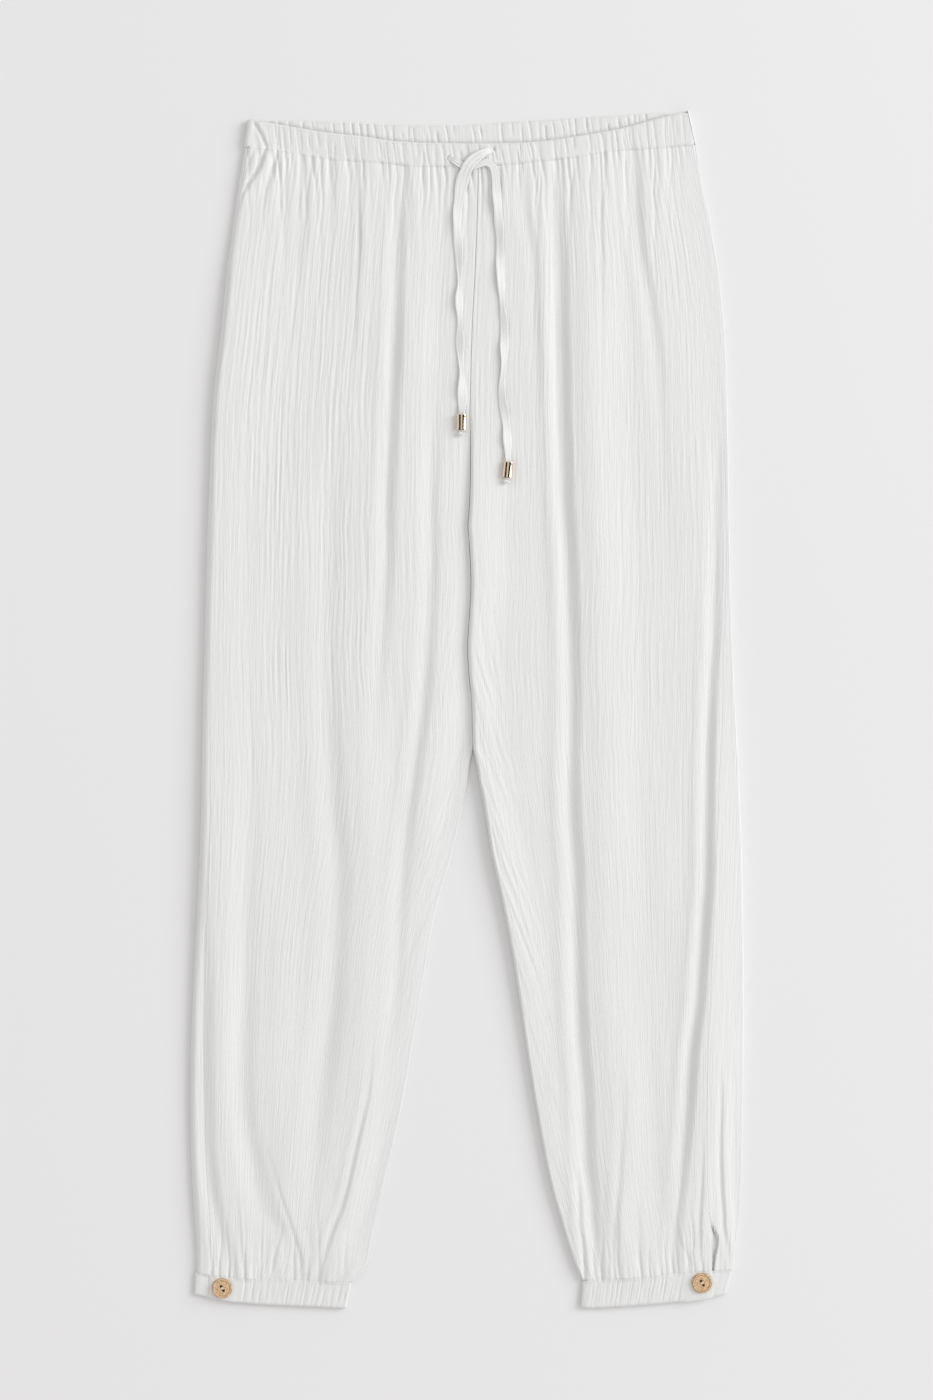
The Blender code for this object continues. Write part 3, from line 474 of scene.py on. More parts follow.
legForm = {
    "gap": 0.14,  # between a front panel and the back panel beside it
    "seamGap": 0.1,  # between the two fronts, and from the legs to the waistband and the cuffs
    "seamMeet": 1.4,  # width on which two pieces come to the same height at a seam
    "topRow": 472.0,
    "lowRow": -478.0,
    "level": 4.9,  # height of the cloth's upper face before any fold
    "lowest": 2.85,  # lowest place of a front's upper face, and how much higher it is over a pocket bag
    "overPocket": 1.25,
    "edgeReach": {"left": 62.0, "right": 32.0},  # how far in from an edge its own height is felt
    "clothWidth": 228.0,  # width on which the grain is counted
    # height of the outer edge, y and z, and how far from it the cloth curves down
    "outerEdge": {"left": [(472, 5.6), (400, 6.4), (340, 8.2), (260, 8.4), (120, 7.8), (0, 8.4), (-80, 8.8),
                           (-160, 8.4), (-250, 7.2), (-320, 6.4), (-420, 6.0), (-478, 5.6)],
                  "right": [(472, 4.4), (440, 3.7), (300, 3.2), (0, 3.2), (-300, 3.3), (-440, 3.7),
                            (-478, 4.5)]},
    "outerRound": {"left": 6.4, "right": 0.5},
    "outerEase": {"left": 6.3, "right": 0.7},  # width on which the folds fade at that edge
    "edgeFoot": 0.22,  # height of the outermost place of the edge, as a part of the edge's height
    # the same for the centre seam and the inseam
    "innerEdge": {"left": [(472, 5.0), (250, 5.0), (215, 3.9), (180, 3.2), (0, 3.1), (-40, 3.4), (-60, 3.7),
                           (-440, 3.8), (-478, 4.6)],
                  "right": [(472, 5.0), (300, 5.0), (250, 5.5), (215, 7.2), (160, 8.7), (60, 8.5), (-46, 8.4),
                            (-120, 8.7), (-200, 8.0), (-286, 7.0), (-430, 6.2), (-478, 5.4)]},
    "innerReach": {"left": (4.0, 28.0), "right": (0.0, 34.0)},
    # where the lapped seam and the crotch lie away from the outline's line: y, left front, right front
    "seamShift": [(250, 0, 0), (220, 1.6, 1.6), (191, 2.0, 2.0), (164, 1.0, 1.0), (154, 0.2, 0.2),
                  (143, 1.2, 1.2), (104, 3.0, 3.0), (76, 1.6, 1.6), (52, 0.2, 0.2), (25, 1.4, 1.4),
                  (10, 2.8, 2.8), (-25, 2.7, 2.6), (-34, 2.2, 2.8), (-46, -0.5, 4.4), (-60, -0.5, 3.4),
                  (-76, -0.6, 2.1), (-118, 0.8, 0.6), (-160, 0, 0)],
    # lines along which sewing presses the right front down, and how deep and how wide
    "pressed": [(189.4, -434, 190.2, -457), (190.2, -457.3, 198, -457.3), (201.7, -423.4, 211.4, -423.4)],
    "pressDepth": 0.4,
    "pressWidth": 1.1,
}

# Below the upper seam the right front laps the left one, and below the crotch both edges are free
lapForm = {
    "top": 245.0,  # y where the lap starts, and how far down it takes to be whole
    "topEase": 70.0,
    "crotch": -26.0,
    "crotchEase": 12.0,
    "hollow": (0.4, 8.0),  # depth and width of the left front's low strip before the lap
    "edgeLow": (3.1, 1.25),  # height to which the inner edges turn down, joined and free
}

# Pocket bags between the front and back panels
pocketForm = {"depth": 122.0, "inset": 9.0, "top": 458.0, "low": 240.0, "floor": 1.8, "wall": 1.0}

# Main creases of the fronts. Each has the width of its dark left flank, the part of its rise that goes on to
# its right, the reach of the slope beyond, and its line: y, x, rise of the cloth on its right
foldForm = {"trough": 0.42, "ridge": 0.24, "shoulderReach": 20.0, "wander": 0.7}
frontFolds = {
    "left": [
        (8.5, 0.1, 28, [(472, -53.3, 0.82), (458, -52.9, 1.07), (400, -54.7, 2.2), (344, -56.2, 2.75),
                        (235, -60.9, 2.63), (193, -63, 2.22), (92, -65.5, 1.48), (8, -71.3, 0.59),
                        (-60, -74.3, 0)]),
        (2, 0, 16, [(472, -89.9, 0.38), (430, -90.1, 0.87), (386, -89.4, 1.23), (344, -92, 0.8),
                    (300, -94.7, 0.25), (260, -95.7, 0)]),
        (3.2, 0, 14, [(472, -113, 0.67), (445, -113.1, 0.6), (395, -113.4, 0.28), (350, -116.1, 0)]),
        (2, 0, 18, [(472, -129.6, 0.6), (457, -131.2, 0.64), (386, -138.3, 0.47), (344, -142.6, 0.33),
                    (280, -152.6, 0.18), (220, -162.8, 0)]),
        (3.4, 0, 12, [(472, -158, 0.6), (466, -159.2, 1.4), (455, -162.5, 1.4), (445, -165.5, 0.9),
                      (430, -169, 0.4), (390, -172.8, 0)]),
        (2.2, 0, 14, [(472, -168.5, 1.5), (459, -172.2, 1.8), (445, -180, 1.6), (431, -188, 0.8),
                      (415, -193, 0)]),
        (1.8, 0, 8, [(472, -177, 0.5), (460, -182, 0.6), (448, -187, 0.3), (438, -190, 0)]),
        (14, 0.28, 34, [(260, -102.8, 0), (193, -108, 0.84), (92, -110.3, 1.55), (8, -110.1, 2.33),
                        (-76, -107.1, 2.49), (-143, -102.5, 2.18), (-210, -105, 2.31), (-277, -110.5, 2.56),
                        (-319, -116.1, 2.14), (-370, -121.5, 1.41), (-420, -127, 0.76),
                        (-478, -130, 0.41)]),
        (8.6, 0.2, 24, [(260, -25.1, 0), (193, -26.2, 1.28), (92, -27.3, 1.51), (8, -33, 2.36),
                        (-42, -39.9, 2.15), (-84, -45.3, 1.67), (-143, -50.7, 1.14), (-241, -57.8, 0.67),
                        (-281, -63.8, 0.33), (-330, -73.4, 0)]),
        (13.7, 0.3, 40, [(230, -173.4, 0), (151, -177, 0.48), (60, -177.4, 0.69), (-118, -177, 1.2),
                         (-143, -178.3, 1.39), (-244, -182.2, 2.04), (-328, -182.7, 2.69),
                         (-370, -175.6, 2.27), (-420, -163.2, 1.28), (-445, -146.3, 0.85),
                         (-478, -134, 0.53)]),
        (9.4, 0.1, 26, [(-60, -215.4, 0), (-160, -218.4, 0.8), (-202, -217.3, 1.47), (-328, -216.1, 2.25),
                        (-395, -212.1, 2.46), (-428, -205.8, 1.81), (-464, -198, 0.86),
                        (-478, -194.4, 0.67)]),
        (3.6, 0.1, 18, [(-270, -76, 0), (-319, -81.6, 0.64), (-361, -90.3, 1.4), (-418, -104, 1.21),
                        (-433, -110.5, 1.13), (-464, -120.4, 0.59), (-478, -124.2, 0.5)]),
        (2.3, 0, 10, [(-400, -192.7, 0), (-430, -190.2, 0.34), (-455, -188.2, 0.47), (-478, -186.2, 0.43)]),
        (2.3, 0, 10, [(-350, -171.3, 0), (-380, -163.3, 0.28), (-407, -155.6, 0.42), (-430, -147.8, 0.52),
                      (-458, -139.4, 0.54), (-478, -137.1, 0.41)]),
        (1.8, 0, 9, [(-425, -153, 0), (-440, -155.5, 0.31), (-455, -159.5, 0.43), (-478, -165, 0.43)]),
    ],
    "right": [
        (9.5, 0.3, 44, [(472, 79.3, 1.26), (457, 79.2, 1.57), (400, 80.4, 3.06), (344, 81.7, 4.46),
                        (260, 82.7, 4.96), (193, 84.9, 4.95), (126, 88.6, 4.7), (25, 91.5, 4.48),
                        (-76, 91.7, 3.92), (-143, 94.9, 3.38), (-244, 96.8, 3.56), (-311, 101.4, 4.06),
                        (-378, 103.2, 3.71), (-412, 106.2, 3.33), (-433, 108.1, 3.1), (-464, 112.6, 1.99),
                        (-478, 115.2, 1.39)]),
        (7.5, 0, 26, [(472, 144, 0.97), (463, 144.5, 1.32), (415, 145.8, 2.18), (378, 149.6, 1.84),
                      (344, 155.9, 1.41), (311, 160.6, 1.1), (269, 164.1, 0.74), (210, 167.5, 0.36),
                      (150, 170, 0)]),
        (6.4, 0, 16, [(472, 54.1, 0.43), (453, 52.3, 0.57), (420, 52.1, 0.99), (378, 57.8, 0.73),
                      (319, 60.5, 0.6), (260, 62.3, 0.25), (200, 63.8, 0)]),
        (8.2, 0, 16, [(472, 21, 0.25), (455, 21.5, 0.63), (425, 22.5, 0.83), (405, 24, 0.54),
                      (375, 26, 0)]),
        (1.8, 0, 14, [(472, 112.5, 0.82), (457, 112.8, 0.88), (382, 114, 0.65), (330, 114.1, 0.31),
                      (280, 115.6, 0)]),
        (2.6, 0, 12, [(472, 131.4, 0.5), (450, 134.4, 0.5), (410, 136.4, 0.36), (370, 137.4, 0)]),
        (7.2, 0, 48, [(278, 213.7, 0.22), (235, 212.6, 0.7), (176, 212, 1.06), (75, 209.7, 2.11),
                      (36, 207.8, 2.61), (-32, 205.4, 2.88), (-100, 204.1, 2.89), (-160, 202.5, 2.9),
                      (-235, 197, 2.99), (-294, 190.5, 3.34), (-353, 185.9, 2.74), (-395, 181.5, 1.69),
                      (-437, 178.2, 1.5), (-462, 177.8, 1.07), (-478, 177.8, 0.82)]),
        (3.8, 0, 9, [(-380, 92.4, 0), (-412, 95.2, 1.26), (-433, 95.7, 1.21), (-478, 102.3, 0.75)]),
        (4.5, 0, 14, [(-300, 133.4, 0), (-353, 131.3, 0.62), (-400, 128.3, 0.79), (-435, 125.8, 0.91),
                      (-455, 125.8, 0.65), (-478, 129.3, 0.6)]),
        (2.4, 0, 9, [(-350, 199, 0), (-395, 197.5, 0.8), (-437, 196, 1), (-460, 196.5, 0.6),
                     (-478, 197, 0.4)]),
        (1.8, 0, 9, [(-360, 184.8, 0), (-403, 179.8, 0.27), (-440, 176.9, 0.38), (-478, 191.5, 0.25)]),
    ],
}

# Crease on the part of the right back panel that shows beside the side seam
wrapFold = (2.6, 0, 9, [(-300, 214.2, 0), (-324, 214.2, 0.7), (-370, 213.4, 1.2), (-403, 214.2, 1.3),
                        (-425, 215.9, 1.2), (-444, 216.7, 1), (-459, 220.1, 0.6), (-478, 222, 0.3)])


def innerLine(side, y):
    return readTable(legOutline[side], y, 3) + readTable(legForm["seamShift"], y, 1 if side == "left" else 2)


def legLines(side, y):
    # outer edge, width that the back panel wraps round it, inner edge, and opening of the vent
    outer, wrap = (readTable(legOutline[side], y, column) for column in (1, 2))
    inner = innerLine(side, y)
    if side == "right":
        inner = np.maximum(inner, innerLine("left", y) + legForm["seamGap"])
    return outer, wrap, inner, np.maximum(0.0, readTable(ventOpening[side], y))


def inwardOf(side):
    return 1.0 if side == "left" else -1.0


def foldShape(fold, x, y):
    (flank, shoulder, reach, line), form = fold, foldForm
    wander = form["wander"] * min(1.0, flank / 7.0)
    past = x - readTable(line, y, 1) - 0.36 * flank - wander * rumple(0.1 * x, y, 20, 38, 7)
    rise = np.maximum(0.0, readTable(line, y, 2)) * (1.0 + 0.22 * rumple(0.1 * x, y, 20, 55, 9))
    climb = (1.0 - shoulder) * ease((past + flank) / (1.32 * flank)) ** 1.5
    climb = climb + shoulder * ease(past / form["shoulderReach"])
    start = 0.3 * flank + shoulder * form["shoulderReach"]
    fall = np.cos(0.5 * math.pi * np.clip((past - start) / reach, 0.0, 1.0)) ** 1.4
    trough = form["trough"] * bell(past + 0.85 * flank, max(2.2, 0.55 * flank))
    ridge = form["ridge"] * bell(past + 1.9 * flank + 2.0, max(2.6, 0.6 * flank))
    return rise * (climb * fall - trough + ridge)


def edgeCurve(side, s, y):
    # upper face of the cloth at a distance s from the outer edge, before folds
    high, edgeRound = readTable(legForm["outerEdge"][side], y), legForm["outerRound"][side]
    low = legForm["edgeFoot"] * high
    curve = np.sqrt(1.0 - (1.0 - np.clip(s / edgeRound, 0.0, 1.0)) ** 2)
    blend = ease((s - edgeRound) / legForm["edgeReach"][side])
    return (low + (high - low) * curve) * (1.0 - blend) + legForm["level"] * blend


def clothFloor(side, x, y):
    # lowest place of a front's upper face, clear of the back panel and of the pocket bag
    across = ease((pocketForm["depth"] + 40.0 - np.abs(x - legLines(side, y)[0])) / 40.0)
    return legForm["lowest"] + legForm["overPocket"] * across * ease((y - pocketForm["low"] + 50.0) / 50.0)


def rowHeight(side, seam, x, y):
    # bends the first rows to the waist seam and the last rows to the cuff seam
    gap, low = legForm["seamGap"], cuffLines[side]["seam"]
    lifted = y + (readTable(bandLines[seam], x) - gap - legForm["topRow"]) * ease((y - 375.0) / 97.0)
    return lifted + (readTable(low, x) + gap - legForm["lowRow"]) * ease((-400.0 - y) / 78.0)


def gatherLines(count, first, last, seed, spread=0.3, finer=(1.0, 1.0)):
    # creases of a gathered strip: place, lean, bend, depth, width, where it starts and ends across the strip
    random = np.random.default_rng(seed)
    made = []
    for number in range(count):
        place = first + (last - first) * (number + 0.5 + random.uniform(-spread, spread)) / count
        lean, bend = random.uniform(0.3, 1.5), random.uniform(-0.9, 0.9)
        depth, width = finer[0] * random.uniform(0.3, 1.0), finer[1] * random.uniform(0.5, 1.0)
        made.append((place, lean, bend, depth, width, random.uniform(-0.7, 0.3), random.uniform(0.7, 1.7)))
    return made


def puffs(lines, x, share, lean):
    # 1 on the round puffs of a gathered strip, towards 0 in its creases
    height = np.ones_like(x)
    for place, slant, bend, depth, width, start, end in lines:
        centre = place + lean * slant * (0.5 - share) + bend * np.sin(math.pi * share)
        here = depth * ease((share - start) / 0.3) * ease((end - share) / 0.3)
        height = height * (1.0 - here * np.exp(-(np.abs(x - centre) / width) ** 1.35))
    return height


# Gathers of the waistband and the cuffs, which run on into the legs beyond their seams
gathers = {
    "waist": {"lines": gatherLines(60, -184.0, 188.0, 3, 0.8) + gatherLines(52, -184.0, 188.0, 4, 0.8)
              + [(-173.0, 4.2, 0.0, 1.0, 1.3, -0.7, 1.7)],  # the last one creases the left corner
              "reach": (8.0, 85.0), "depth": 1.2, "lean": 2.6},
    "left": {"lines": gatherLines(36, -222.0, -96.0, 36, 0.7),
             "reach": (7.0, 50.0), "depth": 1.0, "lean": 1.0},
    "right": {"lines": gatherLines(36, 96.0, 218.0, 37, 0.7),
              "reach": (7.0, 50.0), "depth": 1.0, "lean": -1.0},
}


def gatherShape(end, x, away):
    # short creases that start at a gathered seam and fade with the distance from it
    facts = gathers[end]
    if np.min(away) > 150.0:
        return np.zeros_like(x)
    random = np.random.default_rng(21)
    shape = 0.45 * bell(away, 11.0)
    for number, (place, slant, bend, depth, width, start, stop) in enumerate(facts["lines"]):
        reach = facts["reach"][0] + (facts["reach"][1] - facts["reach"][0]) * random.uniform() ** 1.9
        drift = random.uniform(-0.07, 0.07)
        centre = place + facts["lean"] * slant * (0.5 + 0.5 * (1.0 - np.exp(-away / 12.0))) + drift * away
        centre = centre + 0.6 * np.sin(away / 8.0 + number) * ease(away / 12.0)
        fade = facts["depth"] * depth * np.exp(-(away / reach) ** 1.7)
        spread = (width + 0.35) * (1.0 + 0.5 * away / reach)
        shape = shape - fade * np.exp(-(np.abs(x - centre) / spread) ** 1.6)
    return shape


# Slanting creases that fan out from the crotch along the inseam
pullForm = {"left": 0.36, "right": 0.69, "slant": 0.24, "width": 3.2, "reach": 14.0, "top": 110.0,
            "low": -150.0}


def inseamPull(side, t, y):
    outer, wrap, inner, vent = legLines(side, y)
    s = np.abs(inner - (outer + (inner - outer) * t))
    near = ease(s / 5.0) * (1.0 - ease((s - pullForm["reach"]) / 26.0))
    span = ease((pullForm["top"] - y) / 70.0) * (1.0 - 0.75 * ease((pullForm["low"] - y) / 160.0))
    slanted = rumple(s + pullForm["slant"] * y, y, pullForm["width"], 60, 70 + len(side))
    return pullForm[side] * near * span * (0.4 - np.abs(slanted) ** 0.8)


def seamLevel(y):
    # height that both fronts share at the upper centre seam
    return 5.0 + 0.3 * rumple(0.0 * y, y, 5, 14, 61)


def clothShape(side, x, y, u, fromOuter, fromInner):
    # folds, gathers and crinkles, which run on across the side seam
    shape = 0.32 * rumple(u, y, 22, 90, 41 + len(side))
    for fold in frontFolds[side]:
        shape = shape + foldShape(fold, x, y)
    shape = shape * ease((fromInner + 1.0) / 9.0)
    shape = shape + gatherShape("waist", x, np.maximum(0.0, legForm["topRow"] - y))
    shape = shape + gatherShape(side, x, np.maximum(0.0, y - legForm["lowRow"]))
    shape = shape * ease(fromOuter / legForm["outerEase"][side])
    return shape + crinkle(u, y, side) * ease(fromOuter / 1.2)


def pressedLines(x, y):
    # how far sewing presses the cloth down
    depth = 0.0 * x
    for startX, startY, endX, endY in legForm["pressed"]:
        size = math.hypot(endX - startX, endY - startY)
        alongX, alongY = (endX - startX) / size, (endY - startY) / size
        along = np.clip((x - startX) * alongX + (y - startY) * alongY, 0.0, size)
        away = np.hypot(x - startX - alongX * along, y - startY - alongY * along)
        depth = depth + legForm["pressDepth"] * bell(away, legForm["pressWidth"])
    return depth


def frontHeight(side, t, y):
    inward = inwardOf(side)
    outer, wrap, inner, vent = legLines(side, y)
    seam = outer + inward * (wrap + 0.5 * legForm["gap"] + vent)
    x = seam + (inner - inward * 0.5 * legForm["seamGap"] - seam) * t
    fromOuter, fromInner = np.abs(x - outer), np.abs(inner - x)
    innerHigh = readTable(legForm["innerEdge"][side], y)
    flat, slope = legForm["innerReach"][side]
    height = edgeCurve(side, fromOuter, y)
    height = height + (innerHigh - legForm["level"]) * (1.0 - ease((fromInner - flat) / slope))
    height = height + clothShape(side, x, y, legForm["clothWidth"] * t, fromOuter, fromInner)
    height = height + inseamPull(side, t, y)
    free = ease((lapForm["crotch"] - y) / lapForm["crotchEase"])
    lap = ease((lapForm["top"] - y) / lapForm["topEase"]) * (1.0 - free)
    if side == "left":
        depth, width = lapForm["hollow"]
        height = height - depth * lap * bell(fromInner, width)
        edgeTurn, reach = free, 1.0 - 0.55 * free
    else:
        height = height - pressedLines(x, y)
        edgeTurn, reach = np.maximum(free, lap), 1.0 + 2.2 * lap + 0.8 * free
    joined = 0.8 * (1.0 - lap) * (1.0 - free) * bell(fromInner, legForm["seamMeet"])
    height = height + (seamLevel(y) - height) * joined
    for (topX, topY), (lowX, lowY) in drawstring["tips"].values():  # a metal tip rests in a shallow hollow
        middleX, middleY = 0.5 * (topX + lowX), 0.5 * (topY + lowY) - 3.0
        height = height - 0.9 * np.exp(-((x - middleX) / 6.5) ** 2 - ((y - middleY) / 11.0) ** 4)
    spare = height - clothFloor(side, x, y)
    height = height - spare + 0.5 * (spare + np.sqrt(spare ** 2 + 0.3))
    edgeLow = lapForm["edgeLow"][0] * (1.0 - free) + lapForm["edgeLow"][1] * free
    bow = np.sqrt(1.0 - (1.0 - np.clip(fromInner / reach, 0.0, 1.0)) ** 2)
    return x, height - (height - edgeLow) * (0.03 + 0.97 * edgeTurn) * (1.0 - bow)


frontGrid = {"columns": 277, "fineRow": 2.3, "coarseRow": 3.4, "fineReach": 400.0, "lowRows": 34}


def legRows():
    # closer rows near the waist and the ankles, in a number that suits the coarser lining
    far = frontGrid["fineReach"]
    top = np.arange(legForm["topRow"], far, -frontGrid["fineRow"])
    middle = np.arange(far, -far, -frontGrid["coarseRow"])
    low = np.linspace(-far, legForm["lowRow"], frontGrid["lowRows"])
    rows = np.concatenate([top, middle, low])
    spare = (len(rows) - 1) % 4
    return np.delete(rows, [len(top) + 9 * k for k in range(1, spare + 1)])


seamRows = {"waist": [], "left": [], "right": []}  # x and height of the legs' first and last rows


def seamHeight(name, x):
    places, heights = zip(*sorted(seamRows[name]))
    return np.interp(x, places, heights)


def makeFront(side):
    # evenly spaced columns, and closer ones where the cloth turns down at its inner edge
    even = np.linspace(0.0, 1.0, frontGrid["columns"] - 6)
    close = 1.0 - np.array([0.55, 0.35, 0.2, 0.1, 0.04, 0.012]) * (even[1] - even[0]) * 2.0
    t, y = np.meshgrid(np.sort(np.concatenate([even, close])), legRows())
    x, height = frontHeight(side, t, y)
    level = rowHeight(side, "frontSeam", x, y)
    seamRows["waist"] += list(zip(x[0], height[0]))
    seamRows[side] += list(zip(x[-1], height[-1]))
    lining = np.maximum(height - gauze["wall"], 1.9 - 0.75 * (t > 0.998))
    return closedCloth("frontLeg_" + side, np.stack([x, level, height], 2), np.stack([x, level, lining], 2),
                       np.stack([legForm["clothWidth"] * t, y], 2), "gauze_front_" + side,
                       "front_" + side + "_leg", step=4)


# Points across a back panel: over the top, round the outer edge and along the underside. "under" is how far
# the edge's foot lies in, and "facing" how much deeper the panel lies inside the vent
backGrid = {"flange": 34, "curl": 10, "flat": 146, "under": 1.6, "facing": 2.6}


def makeBack(side):
    # one line across the leg: from the side seam over the outer edge and along the underside to the inseam
    inward, rows, wall = inwardOf(side), legRows()[::2], gauze["wall"]
    quarter = np.linspace(0.0, 0.5 * math.pi, backGrid["curl"])
    made = []
    for y in rows:
        outer, wrap, inner, vent = (float(value) for value in legLines(side, y))
        end = wrap - 0.5 * legForm["gap"] + vent
        start = min(0.7 * end, 1.1 * legForm["outerRound"][side])
        flange = np.linspace(end, start, backGrid["flange"])[:-1]
        over = np.concatenate([flange, start * (1.0 - np.sin(quarter))])
        turn = quarter[1:]
        low = legForm["edgeFoot"] * float(readTable(legForm["outerEdge"][side], y))
        flat = np.linspace(backGrid["under"], abs(inner - outer), backGrid["flat"] + 1)[1:]
        s = np.concatenate([over, backGrid["under"] * (1.0 - np.cos(turn)), flat])
        z = np.concatenate([edgeCurve(side, over, y), low * (1.0 - np.sin(turn)), np.zeros(len(flat))])
        u = np.concatenate([[0.0], np.cumsum(np.hypot(np.diff(s), np.diff(z)))])
        alongS, alongZ = np.gradient(s), np.gradient(z)
        size = np.hypot(alongS, alongZ)
        sIn, zIn = s - wall * alongZ / size, z + wall * alongS / size
        zIn = np.where(z < 0.01, wall, zIn)
        x, xIn, everyY = outer + inward * s, outer + inward * sIn, np.full(len(s), y)
        onTop = np.arange(len(s)) < len(over)
        under = ease((2.0 - z) / 2.0) * (s > 1.0)
        troughs = 0.25 + 0.8 * crinkle(u, everyY, side) + 0.35 * rumple(u, y, 24, 150, 90 + len(side))
        facing = ease((s - wrap + 0.5 * legForm["gap"] + 0.6) / 0.7) * ease(vent / 0.8) * (z > 2.0)
        z, zIn = z - backGrid["facing"] * facing, zIn - backGrid["facing"] * facing
        lift = under * np.clip(troughs, 0.0, 0.6) * ease((s - 6.0) / 6.0) * ~onTop
        lift = lift + clothShape(side, x, everyY, u, s, 99.0) * onTop
        if side == "right":
            between = ease((end - s + 1.0) / 4.0) * ease((s - 1.0) / 4.0)
            lift = lift + onTop * foldShape(wrapFold, x, y) * between
        level, levelIn = rowHeight(side, "backSeam", x, y), rowHeight(side, "backSeam", xIn, y)
        high, lining = np.maximum(z + lift, 0.0), np.maximum(zIn + lift, wall)
        made.append(sheetRow(x, level, high, xIn, levelIn, lining, u, y))
        if y == rows[0] or y == rows[-1]:
            seamRows["waist" if y == rows[0] else side] += list(zip(x[onTop], (z + lift)[onTop]))
    if len(s) % 2 == 0:
        made = [[np.delete(part, len(s) - 3, axis=0) for part in row] for row in made]
    return closedCloth("backLeg_" + side, *sheetGrids(made), "gauze_back_" + side, "back_" + side + "_leg")


pieces = {}
for side in ("left", "right"):
    pieces["front_" + side] = makeFront(side)
    pieces["back_" + side] = makeBack(side)
print("leg panels made")

# Waistband: an elastic casing, front and back, gathered all the way
bandForm = {
    "left": (-187.4, -184.2),  # x of each end at the seam and at the top
    "right": (192.2, 186.0),
    "wall": 2.4,
    "roll": (4.0, 0.9),  # how far each end curls, left and right, and how high it stands
    "endHeight": (6.3, 5.4),
    "frontFloor": 3.5,
    "cornerDrop": (0.9, -70.0),  # how much lower the front lies towards the left corner, and from which x on
    "seamRidge": (0.14, 1.5, 1.2),  # soft ridge beside the seam: height, distance, width
    "eyeletDip": (1.9, 1.5),  # depth and radius
    "puff": 0.9,
    "backPuff": 0.6,
    "cornerCrease": ((0.0, 0.5, 1.0), (-167.5, -172.0, -179.5)),  # share of the height, and x there
    "creaseDepth": 0.8,
    "smoothPatches": ((-11.0, 1.0), (12.6, 25.2)),  # ungathered places at the centre back
}


def rimDrop(share, tall, rim):
    # rounds the two long edges of a strip: 0 at the edge, 1 away from it
    near = np.clip(np.minimum(share, 1.0 - share) * tall / rim, 0.0, 1.0)
    return np.sqrt(1.0 - (1.0 - near) ** 2)


def bandEnds(share):
    return [bandForm[side][0] + (bandForm[side][1] - bandForm[side][0]) * share for side in ("left", "right")]


def stripPlace(first, last, x, share):
    # y at a share of the way from one line of a strip to the other, and how far apart they are
    start, end = readTable(first, x), readTable(last, x)
    return start + (end - start) * share, end - start


def makeFrontBand():
    share, t = np.meshgrid(np.linspace(0.0, 1.0, 19), np.linspace(0.0, 1.0, 521), indexing="ij")
    (left, right), (rollLeft, rollRight) = bandEnds(share), bandForm["roll"]
    left, right = left + rollLeft + 0.2, right - rollRight - 0.2
    x = left + (right - left) * t
    y, tall = stripPlace(bandLines["frontSeam"], bandLines["frontTop"], x, share)
    floor, puff = bandForm["frontFloor"], puffs(gathers["waist"]["lines"], x, share, gathers["waist"]["lean"])
    z = floor + 1.6 + bandForm["puff"] * puff + 0.12 * rumple(x, y, 14, 20, 8)
    drop, dropFrom = bandForm["cornerDrop"]
    z = z - drop * ease((dropFrom - x) / 70.0)
    beside, depth = x - np.interp(share, *bandForm["cornerCrease"]), bandForm["creaseDepth"]
    z = z - depth * bell(beside, 1.5) + 0.5 * depth * bell(beside - 4.0, 2.6)
    z = z + (seamHeight("waist", x) - z) * bell(share * tall, legForm["seamMeet"])
    ridge, away, width = bandForm["seamRidge"]
    z = z + ridge * bell(share * tall - away, width)
    dip, radius = bandForm["eyeletDip"]
    for eyeX, eyeY in drawstring["eyelets"]:
        z = z - dip * bell(np.hypot(x - eyeX, y - eyeY), radius)
    z = floor + 0.9 + (z - floor - 0.9) * rimDrop(np.maximum(share, 0.5), tall, 1.2)
    return closedCloth("waistbandFront", np.stack([x, y, z], 2), np.stack([x, y, np.full_like(x, floor)], 2),
                       np.stack([x * 1.6, y], 2), "gauze_band_front", "waistband_front")


